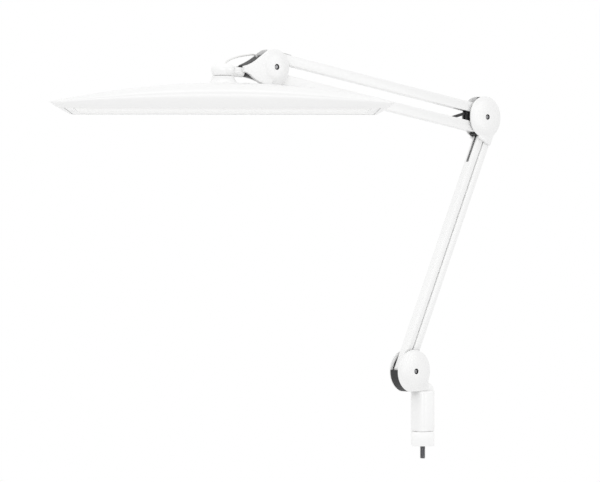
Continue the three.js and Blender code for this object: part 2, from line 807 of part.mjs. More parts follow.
function upperArmPieces() {
  const top = along(
    elbowTop,
    upperAngle,
    piece(
      "upper_bar_top",
      cut(barBody(upperArmLength, upperBarWidth), barSlot(2 * pinRadius, topSlotEnd, upperBarWidth, 1)),
      paint,
    ),
    piece("upper_bar_end_cap", endCap(), paint),
  );
  const bottom = along(
    elbowBottom,
    upperAngle,
    piece(
      "upper_bar_bottom",
      cut(barBody(upperArmLength, upperBarWidth), barSlot(2 * pinRadius, tieSlotEnd, upperBarWidth, -1)),
      paint,
    ),
    spring("upper_spring", upperArmLength * 0.34, upperSpringLength),
  );
  const half = tieHeight / 2;
  const shape = new THREE.Shape();
  shape.absarc(0, 0, half, 90 * rad, 270 * rad);
  shape.absarc(tieLength, 0, half, -90 * rad, 90 * rad);
  shape.closePath();
  const eye = rodY(tiePinRadius + gap, V(0, 0), -tieThickness, tieThickness, 12);
  const tieBody = cut(slab(shape, -tieThickness / 2, tieThickness / 2), eye);
  const tie = along(leverPivot, tieAngle, piece("upper_spring_tie", tieBody, blackPlastic));
  return [top, bottom, tie];
}

// ---------------------------------------------------------------- head joint

function headLinkPieces() {
  const inwards = -upperArmRise;
  const sweeps = [headTop, headBottom].map((pivot) =>
    sweptByBar(pivot, upperBarWidth + 2 * (gap + capStrip), inwards - upperArmUp - 1,
      inwards + upperArmDown + 1, tiltJoint, headCoverRadius));
  const wide = 2 * headCoverRadius;
  const corner = boxShape(tiltJoint.x - wide, tiltJoint.x + linkCornerRight, tiltJoint.y,
    tiltJoint.y + wide);
  const shoulder = cut(
    slab(corner, -jointHalf, jointHalf),
    rodY(headCoverRadius - coreSetBack, tiltJoint, -jointHalf, jointHalf),
  );
  const core = cut(
    slab(circleShape(headCoverRadius - gap - slip, tiltJoint), -coreHalf, coreHalf),
    shoulder,
    ...sweeps,
    pinHole(headTop),
    pinHole(headBottom),
    boltHole(tiltJoint),
  );
  return [
    piece("head_link_core", core, blackPlastic),
    pin("head_pin_top", headTop),
    pin("head_pin_bottom", headBottom),
  ];
}

// The side views of the neck's core and of the covers' tails, from their narrow ends to the round
// of the tilt joint. Each curve has two pulls: a share of neckLength, and a height.
const coreNeck = {
  end: neckLength,
  top: neckTop,
  bottom: neckBottom,
  high: polar(0.92 * headCoverRadius, 124),
  low: polar(0.97 * headCoverRadius, 244),
  upperPulls: [[0.534, 0.484 * headCoverRadius], [0.712, neckTop + 7]],
  lowerPulls: [[0.744, neckBottom + 0.8], [0.55, -0.594 * headCoverRadius]],
};
const skinNeck = {
  end: neckLength + neckSkinOverlap,
  top: neckSkinTop,
  bottom: neckSkinBottom,
  high: polar(headCoverRadius, 122),
  low: polar(headCoverRadius, 253),
  upperPulls: [[0.534, 0.532 * headCoverRadius], [0.728, neckSkinTop + 5.1]],
  lowerPulls: [[0.8, neckSkinBottom - 1.2], [0.744, -1.065 * headCoverRadius]],
};
// The rear cover's tail is narrower underneath, where it would only hide the core.
const rearSkinNeck = {
  ...skinNeck,
  low: coreNeck.low,
  lowerPulls: [[0.85, neckBottom - 1.1], [0.5, neckBottom]],
};

function neckShape({ end, top, bottom, high, low, upperPulls, lowerPulls }) {
  const place = (x, z) => [tiltJoint.x + x, tiltJoint.y + z];
  const pulls = (pairs) => pairs.flatMap(([share, z]) => place(-share * neckLength, z));
  const shape = new THREE.Shape();
  shape.moveTo(...place(high.x, high.y));
  shape.bezierCurveTo(...pulls(upperPulls), ...place(-end, top));
  shape.lineTo(...place(-end, bottom));
  shape.bezierCurveTo(...pulls(lowerPulls), ...place(low.x, low.y));
  shape.lineTo(...place(0, 0));
  shape.closePath();
  return shape;
}

function tiltPieces() {
  const core = cut(
    slab(neckShape(coreNeck), -coreHalf, coreHalf),
    slab(circleShape(headCoverRadius, tiltJoint), -jointHalf, jointHalf),
    rodX(rollPinRadius + gap, 0, rollZ, tiltJoint.x - 2 * neckLength,
      tiltJoint.x - neckLength + rollPinGrip + gap),
    jumperCable(gap),
  );
  const rollPin = rodX(rollPinRadius, 0, rollZ, knuckleEnd - rollPinGrip,
    tiltJoint.x - neckLength + rollPinGrip);
  return [
    piece("neck_core", core, blackPlastic),
    cover("tilt_cover_front", tiltJoint, headCoverRadius, neckShape(skinNeck), tiltPlateRise, -1),
    cover("tilt_cover_rear", tiltJoint, headCoverRadius, neckShape(rearSkinNeck), tiltPlateRise, 1),
    throughBolt("tilt_bolt", tiltJoint),
    throughNut("tilt_nut", tiltJoint),
    piece("roll_pin", rollPin, steel),
  ];
}

// ---------------------------------------------------------------- swivel cap

function capProfile() {
  const path = new THREE.Path();
  path.moveTo(0, capZ);
  path.lineTo(capFoot, capZ);
  path.quadraticCurveTo(capRadius - 0.4, capZ + capBulge * 0.4, capRadius, capZ + capBulge);
  path.bezierCurveTo(capRadius, capZ + capHeight * 0.8, capRadius * 0.78, capZ + capHeight - 0.3,
    capFlat, capZ + capHeight);
  path.lineTo(0, capZ + capHeight);
  return path.getPoints(6);
}

function swivelCap() {
  return cut(
    joined(
      turnedZ(capProfile(), swivelX, 0),
      rodX(knuckleRadius, 0, rollZ, swivelX, knuckleEnd),
    ),
    rodZ(bossTopRadius + slip, swivelX, 0, capZ - 2 * knuckleRadius, capZ),
    rodX(rollPinRadius + gap, 0, rollZ, knuckleEnd - rollPinGrip - gap, knuckleEnd + 1),
    rodZ(swivelBoltRadius + gap, swivelX, 0, capZ - 1, capZ + swivelBoltGrip + gap),
    jumperCable(gap),
  );
}

function swivelBolt() {
  const washerTop = crownZ - headWall - 2 * gap;
  const headTopZ = washerTop - swivelWasher - gap;
  return joined(
    rodZ(swivelBoltRadius, swivelX, 0, headTopZ - 1, capZ + swivelBoltGrip),
    rodZ(swivelBoltHeadRadius, swivelX, 0, headTopZ - swivelBoltHead, headTopZ, 6),
  );
}

// The cable from the swivel cap to the neck, or the channel that its ends sit in.
function jumperCable(margin = 0) {
  const start = new THREE.Vector3(swivelX + 4.8, 0, capZ + capHeight + gap);
  const end = new THREE.Vector3(tiltJoint.x - 29.5, 0, tiltJoint.y + 15.6);
  const route = new THREE.CatmullRomCurve3([
    start,
    new THREE.Vector3(swivelX + 7.5, 0, start.z + 3.2),
    new THREE.Vector3(swivelX + 15.4, 0, start.z + 7.6),
    new THREE.Vector3(swivelX + 26.1, 0, start.z + 11.4),
    new THREE.Vector3(swivelX + 36.8, 0, start.z + 14.3),
    new THREE.Vector3(swivelX + 51.8, 0, start.z + 16.9),
    new THREE.Vector3(end.x - 9.5, 0, end.z + 4.4),
    new THREE.Vector3(end.x - 2.6, 0, end.z + 3.2),
    end,
  ]);
  const section = new THREE.Shape();
  section.absarc(0, 0, jumperRadius + margin, 0, 2 * Math.PI);
  const tube = solid(new THREE.ExtrudeGeometry(section, {
    steps: 18,
    curveSegments: 4,
    extrudePath: route,
    bevelEnabled: false,
  }));
  if (margin === 0) return tube;
  const ends = [start, end].map((p) => box(p.x - 1, p.x + 1, -1, 1, p.z - 1, p.z + 1));
  return joined(tube, ...ends);
}

// ---------------------------------------------------------------- lamp head

// Its own frame: X along the head, Y across it, Z up from the rim, origin on the swivel axis.

const fallTo = (low, high, power) => (x) =>
  high - (high - low) * (Math.abs(x) / headHalfLength) ** power;
const crownAt = fallTo(headTipRise, headHeight, bowPower);
const brimAt = fallTo(headTipBrim, headBrim, bowPower);
const archShare = (y, halfWidth) => (1 - Math.abs(y / halfWidth) ** archPower) ** (1 / archPower);
const archAt = (x, y) => brimAt(x) + (crownAt(x) - brimAt(x)) * archShare(y, headHalfWidth);

// The head's outside, shrunk all round by a wall, with its sloping ends. A section is drawn with
// levels for heights: 0 is the rim, 1 the brim and 2 the crown, and each station scales them.
function archBody(wall, lift, floor) {
  const halfWidth = headHalfWidth - wall;
  const rimHalf = headRimHalfWidth - wall;
  const shape = new THREE.Shape();
  shape.moveTo(rimHalf, floor);
  if (floor < 0) shape.lineTo(rimHalf, 0);
  const sides = 24;
  for (let i = 0; i <= sides; i += 1) {
    const angle = (Math.PI * i) / sides;
    const across = Math.abs(Math.cos(angle)) ** (2 / archPower) * Math.sign(Math.cos(angle));
    shape.lineTo(halfWidth * across, 1 + Math.sin(angle) ** (2 / archPower));
  }
  if (floor < 0) shape.lineTo(-rimHalf, 0);
  shape.lineTo(-rimHalf, floor);
  shape.closePath();
  const geometry = new THREE.ExtrudeGeometry(shape, {
    depth: 2 * headHalfLength,
    steps: 14,
    bevelEnabled: false,
  });
  geometry.rotateX(Math.PI / 2);
  geometry.rotateZ(Math.PI / 2);
  geometry.translate(-headHalfLength, 0, 0);
  const position = geometry.attributes.position;
  for (let i = 0; i < position.count; i += 1) {
    const x = position.getX(i);
    const level = position.getZ(i);
    const crown = crownAt(x) - wall;
    const brim = Math.min(brimAt(x), crown - gap);
    const z = level > 1 ? brim + (level - 1) * (crown - brim) : brim * Math.max(level, 0);
    position.setZ(i, z + Math.min(level, 0) + lift);
  }
  const run = (headHalfLength - headCorner) / headTipRise;
  const back = wall * Math.hypot(1, run);
  const low = floor - 1;
  const high = 2 * headHeight;
  const end = (side) => {
    const points = [
      [headCorner - back + run * low, low],
      [headCorner - back + run * high, high],
      [3 * headHalfLength, high],
      [3 * headHalfLength, low],
    ].map(([x, z]) => [side * x, z]);
    return slab(polygon(side > 0 ? points : points.reverse()), -headHalfLength, headHalfLength);
  };
  return cut(solid(geometry), end(1), end(-1));
}

const screwPosts = [[1, 1], [-1, 1], [-1, -1], [1, -1]]
  .map(([sx, sy]) => [sx * screwPostX, sy * screwPostY]);
const trayTop = trayLift + trayThickness;
const bezelTop = bezelLift + bezelThickness;

function headShell() {
  const posts = screwPosts.map(([x, y]) =>
    rodZ(screwPostRadius, x, y, trayTop + gap, archAt(x, y) - headWall / 2, 12));
  const holes = screwPosts.map(([x, y]) =>
    rodZ(screwRadius + gap, x, y, trayTop, trayTop + 8, 10));
  const boltHoleTool = rodZ(swivelBoltRadius + slip, 0, 0, headHeight / 2, headHeight + 1);
  return cut(
    joined(cut(archBody(0, 0, 0), archBody(headWall, 0, -2)), ...posts),
    ...holes,
    boltHoleTool,
  );
}

function headBoss() {
  const path = new THREE.Path();
  const low = headHeight - 6;
  path.moveTo(0, low);
  path.lineTo(bossBaseRadius, low);
  path.lineTo(bossBaseRadius, headHeight);
  path.quadraticCurveTo(bossTopRadius + 1.6, headHeight + 0.3 * bossHeight, bossTopRadius,
    headHeight + bossHeight);
  path.lineTo(0, headHeight + bossHeight);
  const profile = path.getPoints(5);
  return cut(
    turnedZ(profile, 0, 0),
    archBody(0, gap, 0),
    rodZ(swivelBoltRadius + slip, 0, 0, 0, 2 * headHeight),
  );
}

function frame(outerX, outerY, innerX, innerY, zLow, zHigh) {
  return cut(
    box(-outerX, outerX, -outerY, outerY, zLow, zHigh),
    box(-innerX, innerX, -innerY, innerY, zLow - 1, zHigh + 1),
  );
}

function screwUp(name, x, y, zHead, length) {
  return piece(
    name,
    joined(
      rodZ(screwRadius, x, y, zHead - 0.1, zHead + length, 10),
      rodZ(screwHeadRadius, x, y, zHead - screwHeadHeight, zHead, 14),
    ),
    steel,
  );
}

function headPieces() {
  const endBack = headWall * Math.hypot(1, (headHalfLength - headCorner) / headTipRise);
  const innerX = headCorner - endBack - 2 * gap;
  const innerY = headRimHalfWidth - headWall - 2 * gap;
  const button = V(bezelShort / 2 - 1 - innerX, 0);
  const glassTop = bezelTop + diffuserThickness + gap;
  const buttonHole = rodZ(buttonRadius + gap, button.x, button.y, 0, bezelTop + 1);
  const bezel = cut(
    frame(innerX, innerY, innerX - bezelShort, innerY - bezelLong, bezelLift, bezelTop),
    buttonHole,
  );
  const glassX = innerX - bezelShort + 2.5;
  const glassY = innerY - bezelLong + 2.5;
  const diffuser = box(-glassX, glassX, -glassY, glassY, bezelTop + gap, glassTop);
  const trayHoles = screwPosts.map(([x, y]) =>
    rodZ(screwRadius + gap, x, y, trayLift - 1, trayTop + 1, 10));
  const tray = cut(
    box(-trayHalfLength, trayHalfLength, -trayHalfWidth, trayHalfWidth, trayLift, trayTop),
    ...trayHoles,
  );
  const boardTop = trayLift - gap;
  const boardX = screwPostX - 2 * screwHeadRadius;
  const board = (name, y) => piece(
    name,
    box(-boardX, boardX, y - boardHalfWidth, y + boardHalfWidth, boardTop - boardThickness, boardTop),
    boardWhite,
  );
  const driver = box(driverX - driverLength / 2, driverX + driverLength / 2, -driverWidth / 2,
    driverWidth / 2, trayTop + gap, trayTop + gap + driverHeight);
  const washerZ = headHeight - headWall - 2 * gap;
  const washer = cut(
    rodZ(swivelWasherRadius, 0, 0, washerZ - swivelWasher, washerZ),
    rodZ(swivelBoltRadius + slip, 0, 0, 0, headHeight),
  );
  const buttonBody = joined(
    rodZ(buttonRadius, button.x, button.y, bezelLift, bezelTop + 0.6),
    rodZ(buttonRadius + 0.9, button.x, button.y, bezelTop + gap, bezelTop + gap + 0.8),
    rodZ(buttonRadius / 3, button.x, button.y, bezelTop, bezelTop + buttonStem),
  );
  const group = new THREE.Group();
  group.position.set(swivelX, 0, rimZ);
  group.rotation.z = headYaw * rad;
  group.add(
    piece("head_shell", headShell(), paint),
    piece("head_boss", headBoss(), paint),
    piece("head_bezel", bezel, paint),
    piece("diffuser", diffuser, opal),
    piece("led_tray", tray, aluminium),
    board("led_board_front", -boardOffset),
    board("led_board_rear", boardOffset),
    piece("led_driver", driver, boardWhite),
    piece("swivel_washer", washer, steel),
    piece("power_button", buttonBody, paint),
    ...screwPosts.map(([x, y], i) => screwUp(`tray_screw_${i + 1}`, x, y, trayLift - gap, 7)),
  );
  return group;
}

// ---------------------------------------------------------------- the whole lamp

const lamp = new THREE.Group();
lamp.add(
  mountPieces(),
  ...columnPieces(),
  ...basePieces(),
  ...lowerArmPieces(),
  ...elbowPieces(),
  ...upperArmPieces(),
  ...headLinkPieces(),
  ...tiltPieces(),
  piece("swivel_cap", swivelCap(), paint),
  piece("swivel_bolt", swivelBolt(), steel),
  piece("jumper_cable", jumperCable(), cableGrey),
  headPieces(),
);

export default lamp;
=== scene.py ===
# %% [markdown]
# # A swing arm desk lamp
#
# The lamp stands on a stud that a clamp holds. A column turns on the stud, two pairs of tubes
# form parallelogram arms, and a wide arched head lights the desk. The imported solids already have
# the right sizes and joints. This file gives them the finish of the real thing: rounded edges, a
# powder-coated white, matt black cores and a threaded steel stud.
#
# Blender works in metres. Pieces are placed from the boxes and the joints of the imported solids.

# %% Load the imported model
import json
import math

import bpy
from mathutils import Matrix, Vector


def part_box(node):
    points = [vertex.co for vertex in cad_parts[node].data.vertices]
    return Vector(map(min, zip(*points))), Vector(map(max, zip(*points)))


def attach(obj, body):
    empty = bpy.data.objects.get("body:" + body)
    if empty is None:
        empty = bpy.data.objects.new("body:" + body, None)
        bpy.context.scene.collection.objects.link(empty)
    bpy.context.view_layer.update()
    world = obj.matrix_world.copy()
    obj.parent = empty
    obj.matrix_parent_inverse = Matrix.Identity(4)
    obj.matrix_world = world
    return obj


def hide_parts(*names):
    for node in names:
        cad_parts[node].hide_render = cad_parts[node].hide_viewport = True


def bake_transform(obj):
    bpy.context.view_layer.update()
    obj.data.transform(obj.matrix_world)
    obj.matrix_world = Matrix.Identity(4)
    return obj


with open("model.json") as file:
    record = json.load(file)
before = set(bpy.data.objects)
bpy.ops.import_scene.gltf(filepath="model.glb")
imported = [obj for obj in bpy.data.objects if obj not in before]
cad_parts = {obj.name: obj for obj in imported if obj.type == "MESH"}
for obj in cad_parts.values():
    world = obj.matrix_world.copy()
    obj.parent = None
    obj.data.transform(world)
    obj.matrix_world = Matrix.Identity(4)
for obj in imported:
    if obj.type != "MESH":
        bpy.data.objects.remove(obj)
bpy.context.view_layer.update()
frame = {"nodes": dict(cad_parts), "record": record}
MM = 0.001
joint_at = {
    joint["name"]: Vector(joint.get("pos_m", (0, 0, 0)))
    for joint in frame["record"]["behaviour"]["joints"]
}

# %% [markdown]
# ## Camera
#
# The lamp is seen level, from the front and a little to the left, through a long lens. A long
# lens standing far back keeps the bars nearly parallel.

# %% Camera
CAMERA_YAW = -40.0
CAMERA_AT = (-2.740, -2.922, 0.368)
LENS = 133.3
SENSOR = 36.0

camera_data = bpy.data.cameras.new("camera")
camera_data.lens = LENS
camera_data.sensor_width = SENSOR
camera = bpy.data.objects.new("camera", camera_data)
bpy.context.scene.collection.objects.link(camera)
camera.location = CAMERA_AT
camera.rotation_euler = (math.radians(90), 0, math.radians(CAMERA_YAW))
bpy.context.scene.camera = camera
print("camera", CAMERA_AT)

# %% [markdown]
# ## Modelling tools
#
# Most pieces are turned or cut from flat stock, so four small tools make nearly all of them: a
# turned body is a disc pulled up ring by ring, a slab is a filled outline pulled along Y, a carve
# is a Boolean, and a rounded edge is a Bevel. An operator acts on all that is selected, so each
# tool first puts everything down and then takes one piece, or the points or edges it needs.

# %% Selecting a piece
def put_tools_down():
    if bpy.context.mode != "OBJECT":
        bpy.ops.object.mode_set(mode="OBJECT")
    bpy.ops.object.select_all(action="DESELECT")


def take(piece):
    put_tools_down()
    piece.select_set(True)
    bpy.context.view_layer.objects.active = piece


def settle(piece):
    """Writes the piece's place into its mesh."""
    take(piece)
    bpy.ops.object.transform_apply(location=True, rotation=True, scale=True)


def clear_picks(piece):
    """Takes a piece, unselects all of its mesh and returns the mesh."""
    take(piece)
    mesh = piece.data
    for kind in (mesh.vertices, mesh.edges, mesh.polygons):
        kind.foreach_set("select", [False] * len(kind))
    return mesh


def pick_points(piece, test):
    """Selects the points that pass a test, and leaves the piece in edit mode."""
    mesh = clear_picks(piece)
    mesh.vertices.foreach_set("select", [test(vertex.co) for vertex in mesh.vertices])
    bpy.ops.object.mode_set(mode="EDIT")
    bpy.ops.mesh.select_mode(type="VERT")


def pick_edges(piece, test):
    """Selects the edges whose two ends pass a test, and leaves the piece in edit mode."""
    mesh = clear_picks(piece)
    for edge in mesh.edges:
        edge.select = test(*(mesh.vertices[i].co for i in edge.vertices))
    bpy.ops.object.mode_set(mode="EDIT")
    bpy.ops.mesh.select_mode(type="EDGE")


def face_outwards():
    """Turns every face of the piece in edit mode outwards, and leaves edit mode."""
    bpy.ops.mesh.select_all(action="SELECT")
    bpy.ops.mesh.normals_make_consistent(inside=False)
    bpy.ops.object.mode_set(mode="OBJECT")


# %% [markdown]
# A modifier is worked out once and then applied, so that a finished piece is a plain mesh. A Bevel
# takes the sharpness off machined and moulded edges, and a Boolean cuts or joins as a milling
# cutter or a weld would.

# %% Finishing with modifiers
def modify(piece, kind, **settings):
    take(piece)
    modifier = piece.modifiers.new(kind.lower(), kind)
    for key, value in settings.items():
        setattr(modifier, key, value)
    bpy.ops.object.modifier_apply(modifier=modifier.name)


def round_edges(piece, width, segments=3, angle=30):
    modify(
        piece,
        "BEVEL",
        width=width,
        segments=segments,
        limit_method="ANGLE",
        angle_limit=math.radians(angle),
    )


def carve(piece, tool, operation="DIFFERENCE"):
    """Cuts a piece with another, or joins the two, and uses the other up."""
    modify(piece, "BOOLEAN", object=tool, operation=operation, solver="EXACT")
    bpy.data.objects.remove(tool)


# %% [markdown]
# A domed cover, a screw or a cap is turned on a lathe, so it is round all the way. Here its disc is
# pulled up along the axis one ring at a time, and each new ring is made wider or narrower.

# %% Turned bodies
def turned(rings, centre, axis, sides=64):
    """Rings of (radius, height) along an axis, pulled up one after another from a filled disc."""
    put_tools_down()
    way = Vector(axis).normalized()
    centre = Vector(centre)
    radius, height = rings[0]
    bpy.ops.mesh.primitive_circle_add(
        vertices=sides,
        radius=radius,
        fill_type="NGON",
        location=centre + way * height,
        rotation=way.to_track_quat("Z", "Y").to_euler(),
    )
    piece = bpy.context.active_object
    bpy.ops.object.transform_apply(location=True, rotation=True, scale=True)
    bpy.ops.object.mode_set(mode="EDIT")
    bpy.ops.mesh.select_mode(type="FACE")
    bpy.ops.mesh.select_all(action="SELECT")
    for next_radius, next_height in rings[1:]:
        bpy.ops.mesh.extrude_region_move(
            TRANSFORM_OT_translate={"value": way * (next_height - height)}
        )
        share = next_radius / radius
        bpy.ops.transform.resize(
            value=(share, share, share), center_override=centre + way * next_height
        )
        radius, height = next_radius, next_height
    face_outwards()
    return piece


# %% [markdown]
# A bar or a plate has one outline all through its thickness. The outline is filled and extruded in
# one go, and an arc helper gives the points of its round ends.

# %% Slabs and boxes
def slab(outline, y_low, y_high):
    """A flat outline in X and Z, filled and pulled along Y."""
    put_tools_down()
    bpy.ops.mesh.primitive_circle_add(vertices=len(outline), radius=0.01, fill_type="NGON")
    piece = bpy.context.active_object
    for vertex, (x, z) in zip(piece.data.vertices, outline):
        vertex.co = (x, y_low, z)
    bpy.ops.object.mode_set(mode="EDIT")
    bpy.ops.mesh.select_all(action="SELECT")
    bpy.ops.mesh.extrude_region_move(TRANSFORM_OT_translate={"value": (0, y_high - y_low, 0)})
    face_outwards()
    return piece


def block(low, high):
    put_tools_down()
    low, high = Vector(low), Vector(high)
    bpy.ops.mesh.primitive_cube_add(size=1, location=(low + high) / 2)
    piece = bpy.context.active_object
    piece.scale = high - low
    settle(piece)
    return piece


def arc(centre, radius, start, stop, steps):
    """Points on a circle in X and Z, from one direction in degrees to another."""
    turns = [math.radians(start + (stop - start) * i / steps) for i in range(steps + 1)]
    return [(centre[0] + radius * math.cos(a), centre[1] + radius * math.sin(a)) for a in turns]


# %% [markdown]
# ## Materials
#
# Powder coat is a slightly uneven white with a fine orange peel. Its colour hardly changes, so
# most of its character is in the bump and the roughness. The black cores are moulded plastic with
# a fine grain, and the hardware is plated steel.
#
# A small class lets shader arithmetic be written as ordinary Python.

# %% Shader arithmetic
class Strand:
    """One output of a node, on which +, - and * add Math nodes."""

    def __init__(self, recipe, socket):
        self.recipe = recipe
        self.socket = socket

    def _math(self, operation, first, second):
        return self.recipe.node("ShaderNodeMath", {"operation": operation}, {0: first, 1: second})

    def __add__(self, other):
        return self._math("ADD", self, other)

    def __radd__(self, other):
        return self._math("ADD", other, self)

    def __sub__(self, other):
        return self._math("SUBTRACT", self, other)

    def __rsub__(self, other):
        return self._math("SUBTRACT", other, self)

    def __mul__(self, other):
        return self._math("MULTIPLY", self, other)

    def __rmul__(self, other):
        return self._math("MULTIPLY", other, self)


class Recipe:
    """A material, its shader and the place on the piece that its patterns are laid out by."""

    def __init__(self, name, **shader_values):
        self.material = bpy.data.materials.new(name)
        self.material.use_nodes = True
        self.tree = self.material.node_tree
        self.shader = self.tree.nodes["Principled BSDF"]
        for socket, value in shader_values.items():
            self.shader.inputs[socket.replace("_", " ")].default_value = value
        self.place = self.node("ShaderNodeTexCoord", {}, {}, "Object")

    def node(self, kind, settings, inputs, output=0):
        made = self.tree.nodes.new(kind)
        for key, value in settings.items():
            setattr(made, key, value)
        for key, value in inputs.items():
            self.feed(made.inputs[key], value)
        return Strand(self, made.outputs[output])

    def feed(self, socket, value):
        if isinstance(value, Strand):
            self.tree.links.new(value.socket, socket)
        else:
            socket.default_value = value

    def noise(self, scale, detail=2.0):
        inputs = {"Vector": self.place, "Scale": scale, "Detail": detail}
        return self.node("ShaderNodeTexNoise", {}, inputs, "Fac")

    def blend(self, share, first, second):
        """Mixes two colours. A Mix node has several sockets of each name, one for each type."""
        made = self.tree.nodes.new("ShaderNodeMix")
        made.data_type = "RGBA"
        colours = [socket for socket in made.inputs if socket.type == "RGBA"]
        self.feed(made.inputs["Factor"], share)
        self.feed(colours[0], first)
        self.feed(colours[1], second)
        return Strand(self, next(socket for socket in made.outputs if socket.type == "RGBA"))

    def bump(self, height, distance):
        inputs = {"Height": height, "Distance": distance}
        self.feed(self.shader.inputs["Normal"], self.node("ShaderNodeBump", {}, inputs))

    def set(self, socket, value):
        self.feed(self.shader.inputs[socket], value)


# %% [markdown]
# The whites differ a little, as a coat on a tube, a casting and a moulding do. The shell has the
# tubes' coat but a darker white, as painted shade on its wall. A broad noise makes the colour
# uneven by about one part in a hundred, and two fine ones vary the roughness and the bump.

# %% White finishes
PATCH_SCALE = 35.0
SHEEN_SCALE = 160.0
PEEL_SCALE = 900.0


def white_coat(name, level, peel, roughness):
    """A white coat of a given level, with an orange peel of a given depth in metres."""
    light = (level, level, level - 0.002, 1)
    shade = (level - 0.012, level - 0.012, level - 0.014, 1)
    coat = Recipe(name, Roughness=roughness, IOR=1.5)
    coat.set("Base Color", coat.blend(coat.noise(PATCH_SCALE, 3.0), shade, light))
    coat.set("Roughness", roughness - 0.04 + coat.noise(SHEEN_SCALE) * 0.08)
    coat.bump(coat.noise(PEEL_SCALE, 1.0), peel)
    return coat.material


powder_white = white_coat("powder_white", 0.93, 0.00003, 0.3)
cast_white = white_coat("cast_white", 0.945, 0.00004, 0.3)
moulded_white = white_coat("moulded_white", 0.92, 0.00001, 0.28)
# The shell's darker white is painted shade for the head's wall.
shell_white_painted_shade = white_coat("shell_white_painted_shade", 0.888, 0.00002, 0.3)
for white in (powder_white, cast_white, moulded_white, shell_white_painted_shade):
    print("white finish", white.name)

# %% [markdown]
# Everything else is a pair of close colours with a fine grain. The cores are nearly black, the
# steel is metallic and the opal sheet is almost as white as the shell.

# %% Black, steel and the rest
TONE_SCALE = 220.0
GLOSS_SCALE = 300.0
GRAIN_SCALE = 1400.0


def grained(name, light, dark, grain, roughness, **shader_values):
    """A surface with a fine grain of a given depth in metres, between two close colours."""
    skin = Recipe(name, Roughness=roughness, **shader_values)
    skin.set("Base Color", skin.blend(skin.noise(TONE_SCALE), dark, light))
    skin.set("Roughness", roughness - 0.06 + skin.noise(GLOSS_SCALE) * 0.12)
    skin.bump(skin.noise(GRAIN_SCALE, 1.0), grain)
    return skin.material


black_moulded = grained(
    "black_moulded", (0.022, 0.022, 0.023, 1), (0.014, 0.014, 0.015, 1), 0.00005, 0.52
)
plated_steel = grained(
    "plated_steel", (0.62, 0.62, 0.63, 1), (0.5, 0.5, 0.51, 1), 0.00001, 0.3, Metallic=1.0
)
stud_steel = grained(
    "stud_steel", (0.3, 0.3, 0.31, 1), (0.2, 0.2, 0.21, 1), 0.00002, 0.34, Metallic=1.0
)
screw_steel = grained(
    "screw_steel", (0.34, 0.34, 0.35, 1), (0.24, 0.24, 0.25, 1), 0.00001, 0.36, Metallic=1.0
)
sheet_aluminium = grained(
    "sheet_aluminium", (0.8, 0.81, 0.82, 1), (0.72, 0.73, 0.74, 1), 0.00001, 0.36, Metallic=1.0
)
opal_sheet = grained("opal_sheet", (0.93, 0.93, 0.92, 1), (0.915, 0.915, 0.905, 1), 0.000002, 0.2)
board_white = grained("board_white", (0.86, 0.87, 0.85, 1), (0.82, 0.83, 0.81, 1), 0.00001, 0.5)
cable_grey = grained("cable_grey", (0.83, 0.83, 0.82, 1), (0.79, 0.79, 0.78, 1), 0.00002, 0.55)
print("materials", len(bpy.data.materials))


# %% [markdown]
# ## Fitting a piece
#
# A finished piece is shaded smooth except at its real edges, gets its material, and is tied to the
# body it moves with. The imported solids that it stands for are hidden.

# %% Fit a piece to its body
def fit(piece, name, body, finish, stands_for=(), smooth=38):
    settle(piece)
    piece.name = name
    piece.data.name = name
    bpy.ops.object.shade_smooth_by_angle(angle=math.radians(smooth))
    piece.data.materials.clear()
    piece.data.materials.append(finish)
    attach(piece, body)
    if stands_for:
        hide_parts(*stands_for)
    print(name, len(piece.data.polygons), "faces")
    return piece


# %% [markdown]
# ## Arm bars
#
# Each arm bar is a rectangular tube with rounded corners and round ends, hinged at both ends. It
# starts as a slab with round ends, and a small bevel all round gives the soft edge that catches
# the light. A box is then carved out to leave the wall, and a slot where a lever or a tie comes
# out. It is made lying along X and then turned into place.

# %% Bar sizes
BAR_DEPTH = 14.0 * MM
BAR_WALL = 1.5 * MM
BAR_EDGE = 0.9 * MM
LOWER_WIDTH = 14.7 * MM
UPPER_WIDTH = 17.8 * MM
LEVER_SLOT = 5.0 * MM
TIE_SLOT = 3.2 * MM

lower_way = joint_at["elbow_level"] - joint_at["lower_arm"]
upper_way = joint_at["head_level"] - joint_at["upper_arm"]
print("lower arm", round(lower_way.length, 4), "upper arm", round(upper_way.length, 4))


# %% Make a bar
def bar(pivot, way, width, slot=None):
    """A tube from a pivot along a direction; slot is its start, end, half width and side."""
    length = way.length
    half = width / 2
    outline = arc((0, 0), half, 90, 270, 16) + arc((length, 0), half, -90, 90, 16)
    piece = slab(outline, -BAR_DEPTH / 2, BAR_DEPTH / 2)
    round_edges(piece, BAR_EDGE, 3, 50)
    hollow = block(
        (-width, BAR_WALL - BAR_DEPTH / 2, BAR_WALL - half),
        (length + width, BAR_DEPTH / 2 - BAR_WALL, half - BAR_WALL),
    )
    carve(piece, hollow)
    if slot:
        start, stop, half_slot, side = slot
        window = block(
            (start, -half_slot, side * half - half / 2),
            (stop, half_slot, side * half + half / 2),
        )
        carve(piece, window)
    piece.rotation_euler = (0, -math.atan2(way.z, way.x), 0)
    piece.location = pivot
    return piece


# %% [markdown]
# The four bars differ only in place, width and slot, so one loop makes them all. A slot is given by
# its start and end along the bar, its half width and the side that it opens to.

